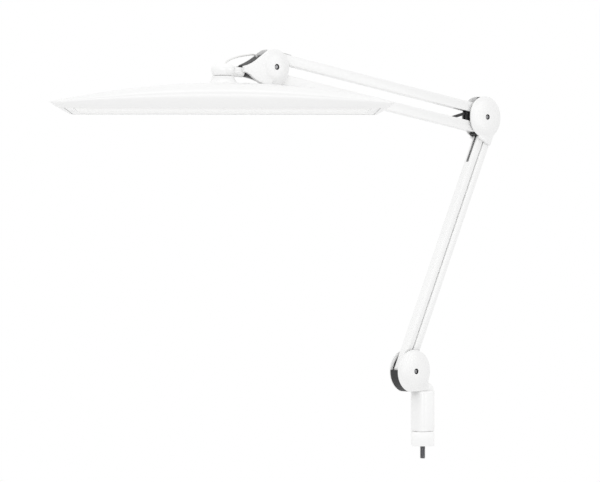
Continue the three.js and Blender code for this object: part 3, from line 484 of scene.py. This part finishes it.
# %% The four bars
upper_slot = (7 * MM, 50 * MM, LEVER_SLOT, 1)
tie_slot = (7 * MM, 104 * MM, LEVER_SLOT, -1)
lower_slot = (lower_way.length - 67 * MM, lower_way.length + LOWER_WIDTH, TIE_SLOT, 1)
for joint, way, width, slot, tube, node in (
    ("lower_arm", lower_way, LOWER_WIDTH, lower_slot, "lower_tube_left", "lower_bar_left"),
    ("lower_parallel", lower_way, LOWER_WIDTH, None, "lower_tube_right", "lower_bar_right"),
    ("upper_arm", upper_way, UPPER_WIDTH, upper_slot, "upper_tube_top", "upper_bar_top"),
    ("upper_parallel", upper_way, UPPER_WIDTH, tie_slot, "upper_tube_bottom", "upper_bar_bottom"),
):
    piece = bar(joint_at[joint], way, width, slot)
    fit(piece, tube, f"{node}_body", powder_white, [node])

# %% [markdown]
# ## Joint covers
#
# Each joint is closed by a pair of domed covers with a straight rim, a soft shoulder and a deep
# round recess for the bolt. The dome stays nearly flat round the bolt and falls away near its rim.
# It is one turned body. The foot, neck or tail that reaches out of it is a flat plate, joined on
# and rounded.

# %% Cover sizes
RIM_Y = 10.0 * MM
DOME = 7.8 * MM
RIM = 2.6 * MM
DOME_POWER = 3.3
PLATE = 3.6 * MM
TILT_PLATE = 5.5 * MM
SHOULDER = 0.9 * MM
RECESS = 5.0 * MM
RECESS_DEPTH = 3.4 * MM
print("cover", round((RIM_Y + DOME) / MM, 2), "mm from the middle of the arm to the dome's top")


# %% The dome's profile
def dome_rings(radius):
    """The dome's profile, from its rim over the shoulder to the floor of the recess."""
    rings = [(radius, 0), (radius, RIM - SHOULDER)]
    for turn in (30, 60, 90):
        a = math.radians(turn)
        rings.append(
            (radius - SHOULDER * (1 - math.cos(a)), RIM - SHOULDER * (1 - math.sin(a)))
        )
    edge = radius - SHOULDER
    for i in range(1, 15):
        r = edge + (RECESS + 0.5 * MM - edge) * i / 14
        rings.append((r, RIM + (DOME - RIM) * (1 - (r / edge) ** DOME_POWER)))
    top = rings[-1][1]
    rings += [(RECESS + 0.1 * MM, top - 0.1 * MM), (RECESS, top - 0.5 * MM)]
    rings.append((RECESS, DOME - RECESS_DEPTH))
    return rings


# %% Make a cover
def cover(centre, radius, side, tail, rise, edge, keep=None):
    """A dome on one side of the arm, with a plate for its tail and a box that it is trimmed to."""
    way = (0, side, 0)
    start = Vector((centre[0], side * RIM_Y, centre[1]))
    piece = turned(dome_rings(radius), start, way, 96)
    plate = slab(tail, *sorted((side * RIM_Y, side * (RIM_Y + rise))))
    face = side * (RIM_Y + rise)
    pick_edges(plate, lambda a, b: max(abs(a.y - face), abs(b.y - face)) < 0.01 * MM)
    bpy.ops.mesh.bevel(offset=edge, segments=4, affect="EDGES")
    bpy.ops.object.mode_set(mode="OBJECT")
    carve(plate, turned([(radius / 2, -1 * MM), (radius / 2, 20 * MM)], start, way, 48))
    carve(piece, plate, "UNION")
    if keep:
        carve(piece, block(*keep), "INTERSECT")
    return piece


# %% [markdown]
# The centres of the round covers come from their packed boxes, and the tilting cover's from its
# joint.

# %% Centres of the round covers
def centre_of(node, radius):
    """A round joint's centre, from the box of its cover: it touches the top and the right side."""
    low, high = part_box(node)
    return high[0] - radius, high[2] - radius


COVER = 38.3 * MM
HEAD_COVER = 31.0 * MM
base_centre = centre_of("base_cover_front", COVER)
elbow_centre = centre_of("elbow_cover_front", COVER)
tilt_centre = (joint_at["head_tilt"].x, joint_at["head_tilt"].z)

# %% [markdown]
# The base covers stand on the column with a square foot, so they are trimmed flat underneath. The
# elbow covers run a short way down the lower arm. The covers at the head taper to a narrow tail
# that grips the knuckle.

# %% Base covers
FOOT_LEFT = 5 * MM
FOOT_RIGHT = 33.6 * MM
foot_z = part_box("base_cover_front")[0][2]
base_tail = [
    (base_centre[0] - FOOT_LEFT, foot_z),
    (base_centre[0] + FOOT_RIGHT, foot_z),
    (base_centre[0] + FOOT_RIGHT, base_centre[1]),
    (base_centre[0] - FOOT_LEFT, base_centre[1]),
]
for side, word in ((-1, "front"), (1, "rear")):
    keep = ((-0.2, -0.1, foot_z), (0.2, 0.1, 0.3))
    piece = cover(base_centre, COVER, side, base_tail, PLATE, 0.8 * MM, keep)
    fit(piece, f"base_dome_{word}", "column", moulded_white,
        [f"base_cover_{word}"])

# %% [markdown]
# The elbow's neck covers the top of the lower arm on both sides. Its end has a lip that reaches in
# towards the bars.

# %% Elbow covers
NECK_WIDTH = 32.5 * MM
NECK_REACH = 42 * MM
LIP = 3 * MM
LIP_Y = 7.6 * MM
along = lower_way.normalized()
across = Vector((along.z, 0, -along.x))


def down_the_arm(near, far):
    """A rectangle as wide as the elbow's neck, between two distances down the lower arm."""
    points = []
    for right, down in ((0, near), (0, far), (NECK_WIDTH, far), (NECK_WIDTH, near)):
        point = Vector((elbow_centre[0], 0, elbow_centre[1])) + across * right - along * down
        points.append((point.x, point.z))
    return points


for side, word in ((-1, "front"), (1, "rear")):
    piece = cover(elbow_centre, COVER, side, down_the_arm(0, NECK_REACH), PLATE, 2.4 * MM)
    depths = sorted((side * LIP_Y, side * (RIM_Y + 0.8 * MM)))
    carve(piece, slab(down_the_arm(NECK_REACH - LIP, NECK_REACH), *depths), "UNION")
    fit(piece, f"elbow_dome_{word}", "elbow", moulded_white,
        [f"elbow_cover_{word}"])


# %% [markdown]
# The tail at the head is drawn with two cubic curves, as a draughtsman would with a spline. The
# rear cover's tail is shallower underneath than the front one's.

# %% Tail curves
def curve_points(a, b, c, d, steps=12):
    """Points on a cubic curve through a and d, pulled towards b and c."""
    points = []
    for i in range(steps + 1):
        t = i / steps
        weights = ((1 - t) ** 3, 3 * t * (1 - t) ** 2, 3 * t * t * (1 - t), t**3)
        points.append(tuple(sum(w * p[k] for w, p in zip(weights, (a, b, c, d))) for k in (0, 1)))
    return points


NECK = 61.8
TAIL_END = 68.6
TAIL_TOP = -1.6
TAIL_BOTTOM = -11.3


def tilt_tail(radius, low, pulls):
    """The tail's outline, in millimetres from the tilt centre, to the round of the cover."""
    high = arc((0, 0), radius, 122, 122, 1)[0]
    upper_pulls = (-0.534 * NECK, 0.532 * radius), (-0.728 * NECK, TAIL_TOP + 5.1)
    upper = curve_points(high, *upper_pulls, (-TAIL_END, TAIL_TOP))
    lower = curve_points((-TAIL_END, TAIL_BOTTOM), *pulls, low)
    return [(tilt_centre[0] + x * MM, tilt_centre[1] + z * MM) for x, z in upper + lower + [(0, 0)]]


# %% Tilt covers
round_radius = HEAD_COVER / MM
deep_pulls = ((-0.8 * NECK, TAIL_BOTTOM - 1.2), (-0.744 * NECK, -1.065 * round_radius))
shallow_pulls = ((-0.85 * NECK, -19.5), (-0.5 * NECK, -18.4))
tails = {
    "front": (-1, arc((0, 0), round_radius, 253, 253, 1)[0], deep_pulls),
    "rear": (1, arc((0, 0), 0.97 * round_radius, 244, 244, 1)[0], shallow_pulls),
}
for word, (side, low, pulls) in tails.items():
    tail = tilt_tail(round_radius, low, pulls)
    piece = cover(tilt_centre, HEAD_COVER, side, tail, TILT_PLATE, 0.9 * MM)
    fit(piece, f"tilt_dome_{word}", "tilt_neck", moulded_white,
        [f"tilt_cover_{word}"])

# %% [markdown]
# ## Bolts and recess rings
#
# Each joint is drawn together by a socket screw deep in the front recess. A black ring lines the
# recess as painted shade, so from the side it reads as a dark hole with a glint of metal.

# %% Bolts
SCREW_SIDES = 24
recess_floor = RIM_Y + DOME - RECESS_DEPTH
for name, centre, body in (("base", base_centre, "column"), ("elbow", elbow_centre, "elbow"),
                           ("tilt", tilt_centre, "tilt_neck")):
    start = (centre[0], 0, centre[1])
    bolt = turned(
        [
            (2.7 * MM, -recess_floor),
            (2.7 * MM, recess_floor + 0.2 * MM),
            (2.9 * MM, recess_floor + 0.2 * MM),
            (2.9 * MM, recess_floor + 1.6 * MM),
            (2.6 * MM, recess_floor + 1.9 * MM),
            (1.4 * MM, recess_floor + 1.9 * MM),
            (1.4 * MM, recess_floor + 0.8 * MM),
        ],
        start,
        (0, -1, 0),
        SCREW_SIDES,
    )
    fit(bolt, f"{name}_socket_screw", body, screw_steel, [f"{name}_bolt"])
    for side, word in ((-1, "front"), (1, "rear")):
        at = (centre[0], side * recess_floor, centre[1])
        # A black ring in the recess: painted shade for the hole's dark inside.
        ring = turned(
            [(4.95 * MM, 0.05 * MM), (4.95 * MM, 2.9 * MM), (4.3 * MM, 2.9 * MM),
             (4.3 * MM, 0.5 * MM)],
            at,
            (0, side, 0),
            48,
        )
        fit(ring, f"{name}_recess_shade_ring_{word}", body, black_moulded)

# %% [markdown]
# ## Column, block and stud
#
# The column is a square bar with generous round corners and a tongue that rises between the base
# covers. Its foot is carved out to make room for the flange of the bush that it turns on.

# %% Column
CORNER = 11.5 * MM
TONGUE_HALF = 9.7 * MM
FLANGE_ROOM = 16.5 * MM
low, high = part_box("swivel_column")
column_side = high[0] - low[0]
tongue_top = high[2]
column_top = foot_z - 0.3 * MM
column = block((low[0], low[1], low[2]), (high[0], high[1], column_top))
pick_edges(column, lambda a, b: abs(a.z - b.z) > 10 * MM)
bpy.ops.mesh.bevel(offset=11 * MM, segments=12, affect="EDGES")
pick_edges(column, lambda a, b: min(a.z, b.z) > column_top - 1 * MM)
bpy.ops.mesh.bevel(offset=0.8 * MM, segments=3, affect="EDGES")
bpy.ops.object.mode_set(mode="OBJECT")
half_side = column_side / 2
tongue = slab(
    [(-half_side, column_top - 3 * MM), (half_side, column_top - 3 * MM)]
    + arc((half_side - CORNER, tongue_top - CORNER), CORNER, 0, 90, 12)
    + [(-half_side, tongue_top)],
    -TONGUE_HALF,
    TONGUE_HALF,
)
round_edges(tongue, 0.7 * MM, 3, 40)
carve(column, tongue, "UNION")
flange_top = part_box("swivel_bush")[1][2] + 0.3 * MM
flange_rings = [(FLANGE_ROOM, low[2] - 1 * MM), (FLANGE_ROOM, flange_top)]
carve(column, turned(flange_rings, (0, 0, 0), (0, 0, 1)))
fit(column, "column_body", "column", cast_white, ["swivel_column"])

# %% [markdown]
# The block is square, and is turned about the stud's axis. A round socket in its top holds the
# bush.

# %% Block
BLOCK_HALF = 20 * MM
BLOCK_YAW = math.radians(-40)
SOCKET = 13.6 * MM
low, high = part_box("mount_block")
mount = block((-BLOCK_HALF, -BLOCK_HALF, low[2]), (BLOCK_HALF, BLOCK_HALF, high[2]))
round_edges(mount, 0.9 * MM, 3)
socket = turned([(SOCKET, 13 * MM), (SOCKET, 30 * MM)], (0, 0, 0), (0, 0, 1), 48)
carve(mount, socket)
mount.rotation_euler = (0, 0, BLOCK_YAW)
fit(mount, "mount_body", "bracket", cast_white, ["mount_block"])

# %% [markdown]
# The stud's thread is a real one: a single tooth swept round and up by a Screw modifier. The points
# of one turn meet those of the next and are merged, and both ends are cut flat.

# %% Threaded stud
STUD = 4.8 * MM
PITCH = 1.5 * MM
TOOTH = 0.75 * MM
STEPS = 28
low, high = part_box("mounting_stud")
put_tools_down()
bpy.ops.mesh.primitive_circle_add(vertices=3, radius=0.001)
thread = bpy.context.active_object
profile = ((STUD - TOOTH, -PITCH), (STUD, -PITCH / 2), (STUD - TOOTH, 0))
for vertex, (r, z) in zip(thread.data.vertices, profile):
    vertex.co = (r, 0, z)
pick_edges(thread, lambda a, b: max(a.x, b.x) < STUD - TOOTH / 2)
bpy.ops.mesh.delete(type="EDGE")
bpy.ops.object.mode_set(mode="OBJECT")
turns = int((high[2] - low[2]) / PITCH) + 3
modify(
    thread,
    "SCREW",
    angle=math.radians(360),
    screw_offset=PITCH,
    iterations=turns,
    steps=STEPS,
    render_steps=STEPS,
    use_merge_vertices=True,
    merge_threshold=0.00001,
)
thread.location = (0, 0, low[2] - 0.5 * PITCH)
settle(thread)
bpy.ops.object.mode_set(mode="EDIT")
for z, up in ((low[2], -1), (high[2], 1)):
    bpy.ops.mesh.select_all(action="SELECT")
    bpy.ops.mesh.bisect(
        plane_co=(0, 0, z), plane_no=(0, 0, up), use_fill=True, clear_outer=True
    )
face_outwards()
fit(thread, "threaded_stud", "bracket", stud_steel, ["mounting_stud"], smooth=50)

# %% [markdown]
# ## Swivel cap and boss
#
# The head hangs from a mushroom-shaped cap. A round knuckle joins it to the neck, and a flared
# boss on the head's crown turns underneath it with a thin dark gap between the two.

# %% Cap
CAP_DRAWN = 20.2 * MM
KNUCKLE = 8.4 * MM
KNUCKLE_EDGE = 0.6 * MM
RELIEF = 18.9 * MM
swivel = joint_at["head_swivel"]
roll = joint_at["head_roll"]
cap_z = swivel.z
cap_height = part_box("swivel_cap")[1][2] - cap_z
cap_curve = [(16.2, 0.0), (16.8, 0.5), (18.4, 2.6), (19.5, 5.0), (20.2, 7.6), (20.4, 9.6),
             (20.2, 12.0), (19.4, 14.4), (17.9, 16.6), (15.6, 18.4), (12.8, 19.5), (9.0, 20.0)]
cap_rings = [(r * MM, h * MM * cap_height / CAP_DRAWN) for r, h in cap_curve]
cap_rings.append((6.0 * MM, cap_height))
cap = turned(cap_rings, (swivel.x, 0, cap_z), (0, 0, 1), 72)
reach = roll.x - swivel.x
knuckle = turned(
    [(KNUCKLE, 0), (KNUCKLE, reach - KNUCKLE_EDGE), (KNUCKLE - KNUCKLE_EDGE, reach)],
    (swivel.x, 0, roll.z),
    (1, 0, 0),
    48,
)
relief = turned([(RELIEF, -20 * MM), (RELIEF, 0)], (swivel.x, 0, cap_z), (0, 0, 1), 72)
carve(knuckle, relief)
carve(cap, knuckle, "UNION")
fit(cap, "cap_body", "cap", cast_white, ["swivel_cap"])

# %% [markdown]
# The boss flares out where it meets the crown. Its side is a curve between its two radii, pulled
# in towards the middle.

# %% Boss
FLARE, PULL, WAIST = 25.5, 20.0, 18.4
rim_z, crown_z = (corner[2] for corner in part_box("head_shell"))
boss_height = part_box("head_boss")[1][2] - crown_z
boss_rings = [(FLARE * MM, -1.6 * MM), (FLARE * MM, -0.2 * MM)]
for i in range(1, 9):
    t = i / 8
    r = (1 - t) ** 2 * FLARE + 2 * t * (1 - t) * PULL + t * t * WAIST
    h = 2 * t * (1 - t) * 0.3 + t * t
    boss_rings.append((r * MM, h * boss_height - 0.4 * MM * t))
boss_rings.append((18.1 * MM, boss_height - 0.1 * MM))
boss_rings += [(17.8 * MM, boss_height), (5.0 * MM, boss_height)]
boss = turned(boss_rings, (swivel.x, 0, crown_z), (0, 0, 1), 72)
fit(boss, "boss_body", "head", moulded_white, ["head_boss"])

# %% [markdown]
# ## Head shell
#
# The shell is one long arch over a brim, its widest line. Below the brim the wall leans in to the
# rim. One section is pulled along the length a station at a time. Each station is then pressed
# down, first as a whole and then above its brim, so that the brim and the crown both fall towards
# the ends. The ends are cut by two sloping planes, and a slightly smaller copy, set lower, hollows
# it out.

# %% Shell sizes
HEAD_YAW = math.radians(-38.5)
HALF_LENGTH = 285 * MM
RIM_LENGTH = 262 * MM
HALF_WIDTH = 100 * MM
RIM_HALF_WIDTH = 95 * MM
CROWN = crown_z - rim_z
BRIM = 21 * MM
TIP_BRIM = 8 * MM
TIP = 12.6 * MM
WALL = 2.2 * MM
ARCH_POWER = 2.2
BOW_POWER = 2
OVERRUN = 6 * MM
STATIONS = 56
QUARTER_STEPS = 24
LEAN = ((0, 0), (3.4, 11), (4.4, 15.4))
print("head", round(2 * HALF_LENGTH, 3), "by", round(2 * HALF_WIDTH, 3), "crown", round(CROWN, 4))


# %% One side of the section
def half_section(inset):
    """The section's outline on one side, from the rim over the brim to the crown."""
    brim = HALF_WIDTH - inset
    rim = RIM_HALF_WIDTH - inset
    points = [(rim + out * MM, z * MM) for out, z in LEAN]
    points.append((brim - 0.12 * MM, 18.6 * MM))
    for i in range(QUARTER_STEPS + 1):
        turn = math.radians(90 * i / QUARTER_STEPS)
        y = brim * math.cos(turn) ** (2 / ARCH_POWER)
        z = BRIM + (CROWN - BRIM) * math.sin(turn) ** (2 / ARCH_POWER)
        points.append((y, z))
    return points


# %% [markdown]
# The arch runs a few millimetres past the head's length, so that the sloping cuts meet it
# everywhere. A bisect scales its threshold by the normal that it is given: with a very short
# normal, points some millimetres off the plane count as lying on it, and nothing is cut. So the
# normal is made a unit vector.

# %% Pull a section along the head
def arch(inset):
    """The head's outside, inset from its sides, with its crown falling towards both ends."""
    near = half_section(inset)
    section = near + [(-y, z) for y, z in reversed(near[:-1])]
    put_tools_down()
    bpy.ops.mesh.primitive_circle_add(vertices=len(section), radius=0.01, fill_type="NGON")
    piece = bpy.context.active_object
    reach = HALF_LENGTH + OVERRUN
    for vertex, (y, z) in zip(piece.data.vertices, section):
        vertex.co = (-reach, y, z)
    bpy.ops.object.mode_set(mode="EDIT")
    bpy.ops.mesh.select_all(action="SELECT")
    step = 2 * reach / STATIONS
    for _ in range(STATIONS):
        bpy.ops.mesh.extrude_region_move(TRANSFORM_OT_translate={"value": (step, 0, 0)})
    face_outwards()
    for i in range(STATIONS + 1):
        x = i * step - reach
        fall = (abs(x) / HALF_LENGTH) ** BOW_POWER
        brim = BRIM + (TIP_BRIM - BRIM) * fall
        crown = CROWN + (TIP - CROWN) * fall
        pick_points(piece, lambda co: abs(co.x - x) < step / 4)
        bpy.ops.transform.resize(value=(1, 1, brim / BRIM), center_override=(x, 0, 0))
        arched = (crown - brim) / (CROWN - BRIM) * BRIM / brim
        pick_points(piece, lambda co: abs(co.x - x) < step / 4 and co.z > brim + 0.001 * MM)
        bpy.ops.transform.resize(value=(1, 1, arched), center_override=(x, 0, brim))
    bpy.ops.object.mode_set(mode="OBJECT")
    return piece


def slope_ends(piece, back):
    """Cuts both ends with planes that lean out from the rim to the tips."""
    take(piece)
    bpy.ops.object.mode_set(mode="EDIT")
    for side in (1, -1):
        bpy.ops.mesh.select_all(action="SELECT")
        bpy.ops.mesh.bisect(
            plane_co=(side * (RIM_LENGTH - back), 0, 0),
            plane_no=Vector((side * TIP, 0, RIM_LENGTH - HALF_LENGTH)).normalized(),
            threshold=0.001 * MM,
            use_fill=True,
            clear_outer=True,
        )
    face_outwards()


# %% Hollow the shell
end_back = WALL * math.hypot(1, (HALF_LENGTH - RIM_LENGTH) / TIP)
shell = arch(0)
slope_ends(shell, 0)
hollow = arch(WALL)
hollow.location = (0, 0, -WALL)
settle(hollow)
slope_ends(hollow, end_back)
carve(shell, hollow)
round_edges(shell, 0.5 * MM, 2, 40)
shell.rotation_euler = (0, 0, HEAD_YAW)
shell.location = (swivel.x, 0, rim_z)
fit(shell, "shell_body", "head", shell_white_painted_shade, ["head_shell"], smooth=30)

# %% [markdown]
# ## Underside
#
# A flat bezel fills the rim and holds an opal sheet in front of the light-emitting boards. The
# sheet is stepped, so that its pane comes through the bezel's window and lies nearly flush with
# it. The power button lies in the bezel's end.

# %% Bezel
def in_head(piece):
    piece.rotation_euler = (0, 0, HEAD_YAW)
    piece.location = (swivel.x, 0, rim_z)
    return piece


SEAM = 0.25 * MM
BEZEL_FACE = 0.25 * MM
BEZEL_BACK = 3.3 * MM
BORDER_X = 14 * MM
BORDER_Y = 6 * MM
BUTTON_HOLE = 4.3 * MM
SHEET_LIP = 2.5 * MM
inner_x = RIM_LENGTH - end_back - SEAM
inner_y = RIM_HALF_WIDTH - WALL - SEAM
bezel = block((-inner_x, -inner_y, BEZEL_FACE), (inner_x, inner_y, BEZEL_BACK))
window_x, window_y = inner_x - BORDER_X, inner_y - BORDER_Y
carve(bezel, block((-window_x, -window_y, 0), (window_x, window_y, 5 * MM)))
button_x = 6 * MM - inner_x
hole_rings = [(BUTTON_HOLE, 0), (BUTTON_HOLE, 5 * MM)]
carve(bezel, turned(hole_rings, (button_x, 0, 0), (0, 0, 1), 40))
round_edges(bezel, 0.2 * MM, 2)
fit(in_head(bezel), "bezel_frame", "head", moulded_white, ["head_bezel"])

# %% [markdown]
# The sheet is a thin plate behind the bezel, with a pane joined to its face that fills the window.

# %% Opal sheet
sheet_x, sheet_y = window_x + SHEET_LIP, window_y + SHEET_LIP
sheet = block((-sheet_x, -sheet_y, 3.6 * MM), (sheet_x, sheet_y, 5.6 * MM))
pane_x, pane_y = window_x - SEAM, window_y - SEAM
carve(sheet, block((-pane_x, -pane_y, 2 * BEZEL_FACE), (pane_x, pane_y, 4 * MM)), "UNION")
round_edges(sheet, 0.2 * MM, 2)
fit(in_head(sheet), "opal_panel", "head", opal_sheet, ["diffuser"])

# %% [markdown]
# The button is a small round cap with a flange behind the bezel, so that it can't fall out.

# %% Power button
button = turned(
    [(3.6 * MM, 0.6 * MM), (3.9 * MM, 0.7 * MM), (4.0 * MM, 1.0 * MM), (4.0 * MM, 3.6 * MM),
     (4.9 * MM, 3.6 * MM), (4.9 * MM, 4.4 * MM), (1.3 * MM, 4.4 * MM), (1.3 * MM, 5.5 * MM)],
    (button_x, 0, 0),
    (0, 0, 1),
    48,
)
fit(in_head(button), "button_body", "button", moulded_white, ["power_button"])

# %% [markdown]
# ## Jumper cable
#
# A thin cable leaves the top of the swivel cap, arches over the knuckle and goes into the neck. It
# is a round tube along a smooth curve.

# %% Cable route
cap_top = cap_z + cap_height + 0.3 * MM
route = [
    (swivel.x + 4.8 * MM, cap_top),
    (swivel.x + 7.5 * MM, cap_top + 3.2 * MM),
    (swivel.x + 15.4 * MM, cap_top + 7.6 * MM),
    (swivel.x + 26.1 * MM, cap_top + 11.4 * MM),
    (swivel.x + 36.8 * MM, cap_top + 14.3 * MM),
    (swivel.x + 51.8 * MM, cap_top + 16.9 * MM),
    (tilt_centre[0] - 39.0 * MM, tilt_centre[1] + 20.0 * MM),
    (tilt_centre[0] - 32.1 * MM, tilt_centre[1] + 18.8 * MM),
    (tilt_centre[0] - 29.5 * MM, tilt_centre[1] + 15.6 * MM),
]
length = sum(math.dist(a, b) for a, b in zip(route, route[1:]))
print("cable", round(length / MM, 1), "mm along its route")

# %% Cable
CABLE_RADIUS = 1.5 * MM
line = bpy.data.curves.new("cable_line", "CURVE")
line.dimensions = "3D"
line.bevel_depth = CABLE_RADIUS
line.bevel_resolution = 4
line.use_fill_caps = True
line.resolution_u = 10
spline = line.splines.new("BEZIER")
spline.bezier_points.add(len(route) - 1)
for point, (x, z) in zip(spline.bezier_points, route):
    point.co = (x, 0, z)
    point.handle_left_type = point.handle_right_type = "AUTO"
cable = bpy.data.objects.new("cable_line", line)
bpy.context.scene.collection.objects.link(cable)
take(cable)
bpy.ops.object.convert(target="MESH")
cable = bpy.context.active_object
cable.name = cable.data.name = "cable_sheath"
bpy.ops.object.shade_smooth_by_angle(angle=math.radians(50))
cable.data.materials.append(cable_grey)
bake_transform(cable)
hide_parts("jumper_cable")
print("cable_sheath", len(cable.data.polygons), "faces")

# %% [markdown]
# ## Solids that stay
#
# The remaining solids already have their real shape: cores, pins, springs, the parts inside the
# head. Each gets the material of its slot.

# %% Dress the remaining solids
FINISH = {
    "white_paint": powder_white,
    "white_casting": cast_white,
    "white_plastic": moulded_white,
    "black_plastic": black_moulded,
    "steel": plated_steel,
    "aluminium": sheet_aluminium,
    "opal_plastic": opal_sheet,
    "board": board_white,
    "cable": cable_grey,
}
for part in frame["record"]["subparts"]:
    node = frame["nodes"][part["node"]]
    node.data.materials.clear()
    node.data.materials.append(FINISH[part["material_slot"]])

# %% [markdown]
# ## Studio
#
# A white lamp on white needs very even light, with just enough from the front and above to turn
# the domes. The world gives the even part. It is white to the camera and to reflections, and a
# little dimmer as a light, so that white surfaces don't clip.

# %% World
WORLD_LEVEL = 0.90
world = bpy.data.worlds.new("studio")
bpy.context.scene.world = world
world.use_nodes = True
tree = world.node_tree
tree.nodes.clear()
seen = tree.nodes.new("ShaderNodeBackground")
lit = tree.nodes.new("ShaderNodeBackground")
for light, level in ((seen, 1.0), (lit, WORLD_LEVEL)):
    light.inputs["Color"].default_value = (1, 1, 1, 1)
    light.inputs["Strength"].default_value = level
path = tree.nodes.new("ShaderNodeLightPath")
either = tree.nodes.new("ShaderNodeMath")
through = tree.nodes.new("ShaderNodeMath")
either.operation = through.operation = "MAXIMUM"
choice = tree.nodes.new("ShaderNodeMixShader")
output = tree.nodes.new("ShaderNodeOutputWorld")
for start, end in (
    (path.outputs["Is Camera Ray"], either.inputs[0]),
    (path.outputs["Is Glossy Ray"], either.inputs[1]),
    (either.outputs[0], through.inputs[0]),
    (path.outputs["Is Transmission Ray"], through.inputs[1]),
    (through.outputs[0], choice.inputs[0]),
    (lit.outputs[0], choice.inputs[1]),
    (seen.outputs[0], choice.inputs[2]),
    (choice.outputs[0], output.inputs[0]),
):
    tree.links.new(start, end)
print("world", WORLD_LEVEL)

# %% [markdown]
# Two softboxes light the lamp, from the front left and from above. The two cards are seen only in
# reflections, where they give the smooth whites a soft sheen.

# %% Lamps
middle = Vector((-0.3, 0.0, 0.4))


def soft_light(name, azimuth, elevation, distance, size, power, diffuse=True):
    """A square softbox in a direction from the lamp's middle, given in degrees."""
    data = bpy.data.lights.new(name, "AREA")
    data.shape = "SQUARE"
    data.size = size
    data.energy = power
    light = bpy.data.objects.new(name, data)
    bpy.context.scene.collection.objects.link(light)
    turn, rise = math.radians(azimuth), math.radians(elevation)
    way = Vector((math.cos(turn) * math.cos(rise), math.sin(turn) * math.cos(rise), math.sin(rise)))
    light.location = middle + way * distance
    light.rotation_euler = way.to_track_quat("Z", "Y").to_euler()
    light.visible_diffuse = diffuse
    print(name, power, "W at", distance, "m")


soft_light("key", azimuth=-148, elevation=18, distance=4.5, size=1.6, power=15)
soft_light("top", azimuth=-130, elevation=80, distance=3.5, size=2.0, power=16)
soft_light("card_left", azimuth=-128, elevation=8, distance=4.6, size=2.2, power=38, diffuse=False)
soft_light("card_right", azimuth=-62, elevation=10, distance=4.0, size=2.6, power=36, diffuse=False)

# %% [markdown]
# The floor lies well below, because the lamp is held up by its stud. It is stage and not part of
# the lamp.

# %% Floor
FLOOR_Z = -0.62
put_tools_down()
bpy.ops.mesh.primitive_plane_add(size=9.0, location=(-1.5, -1.5, FLOOR_Z))
floor = bpy.context.active_object
floor.name = floor.data.name = "floor"
pale = Recipe("pale_floor", Base_Color=(0.93, 0.93, 0.93, 1), Roughness=0.8)
floor.data.materials.append(pale.material)
print("floor at", FLOOR_Z)

# %% [markdown]
# ## View transform
#
# The view transform stays plain, so that a colour renders about as it is written.

# %% Finish
bpy.context.scene.view_settings.view_transform = "Standard"
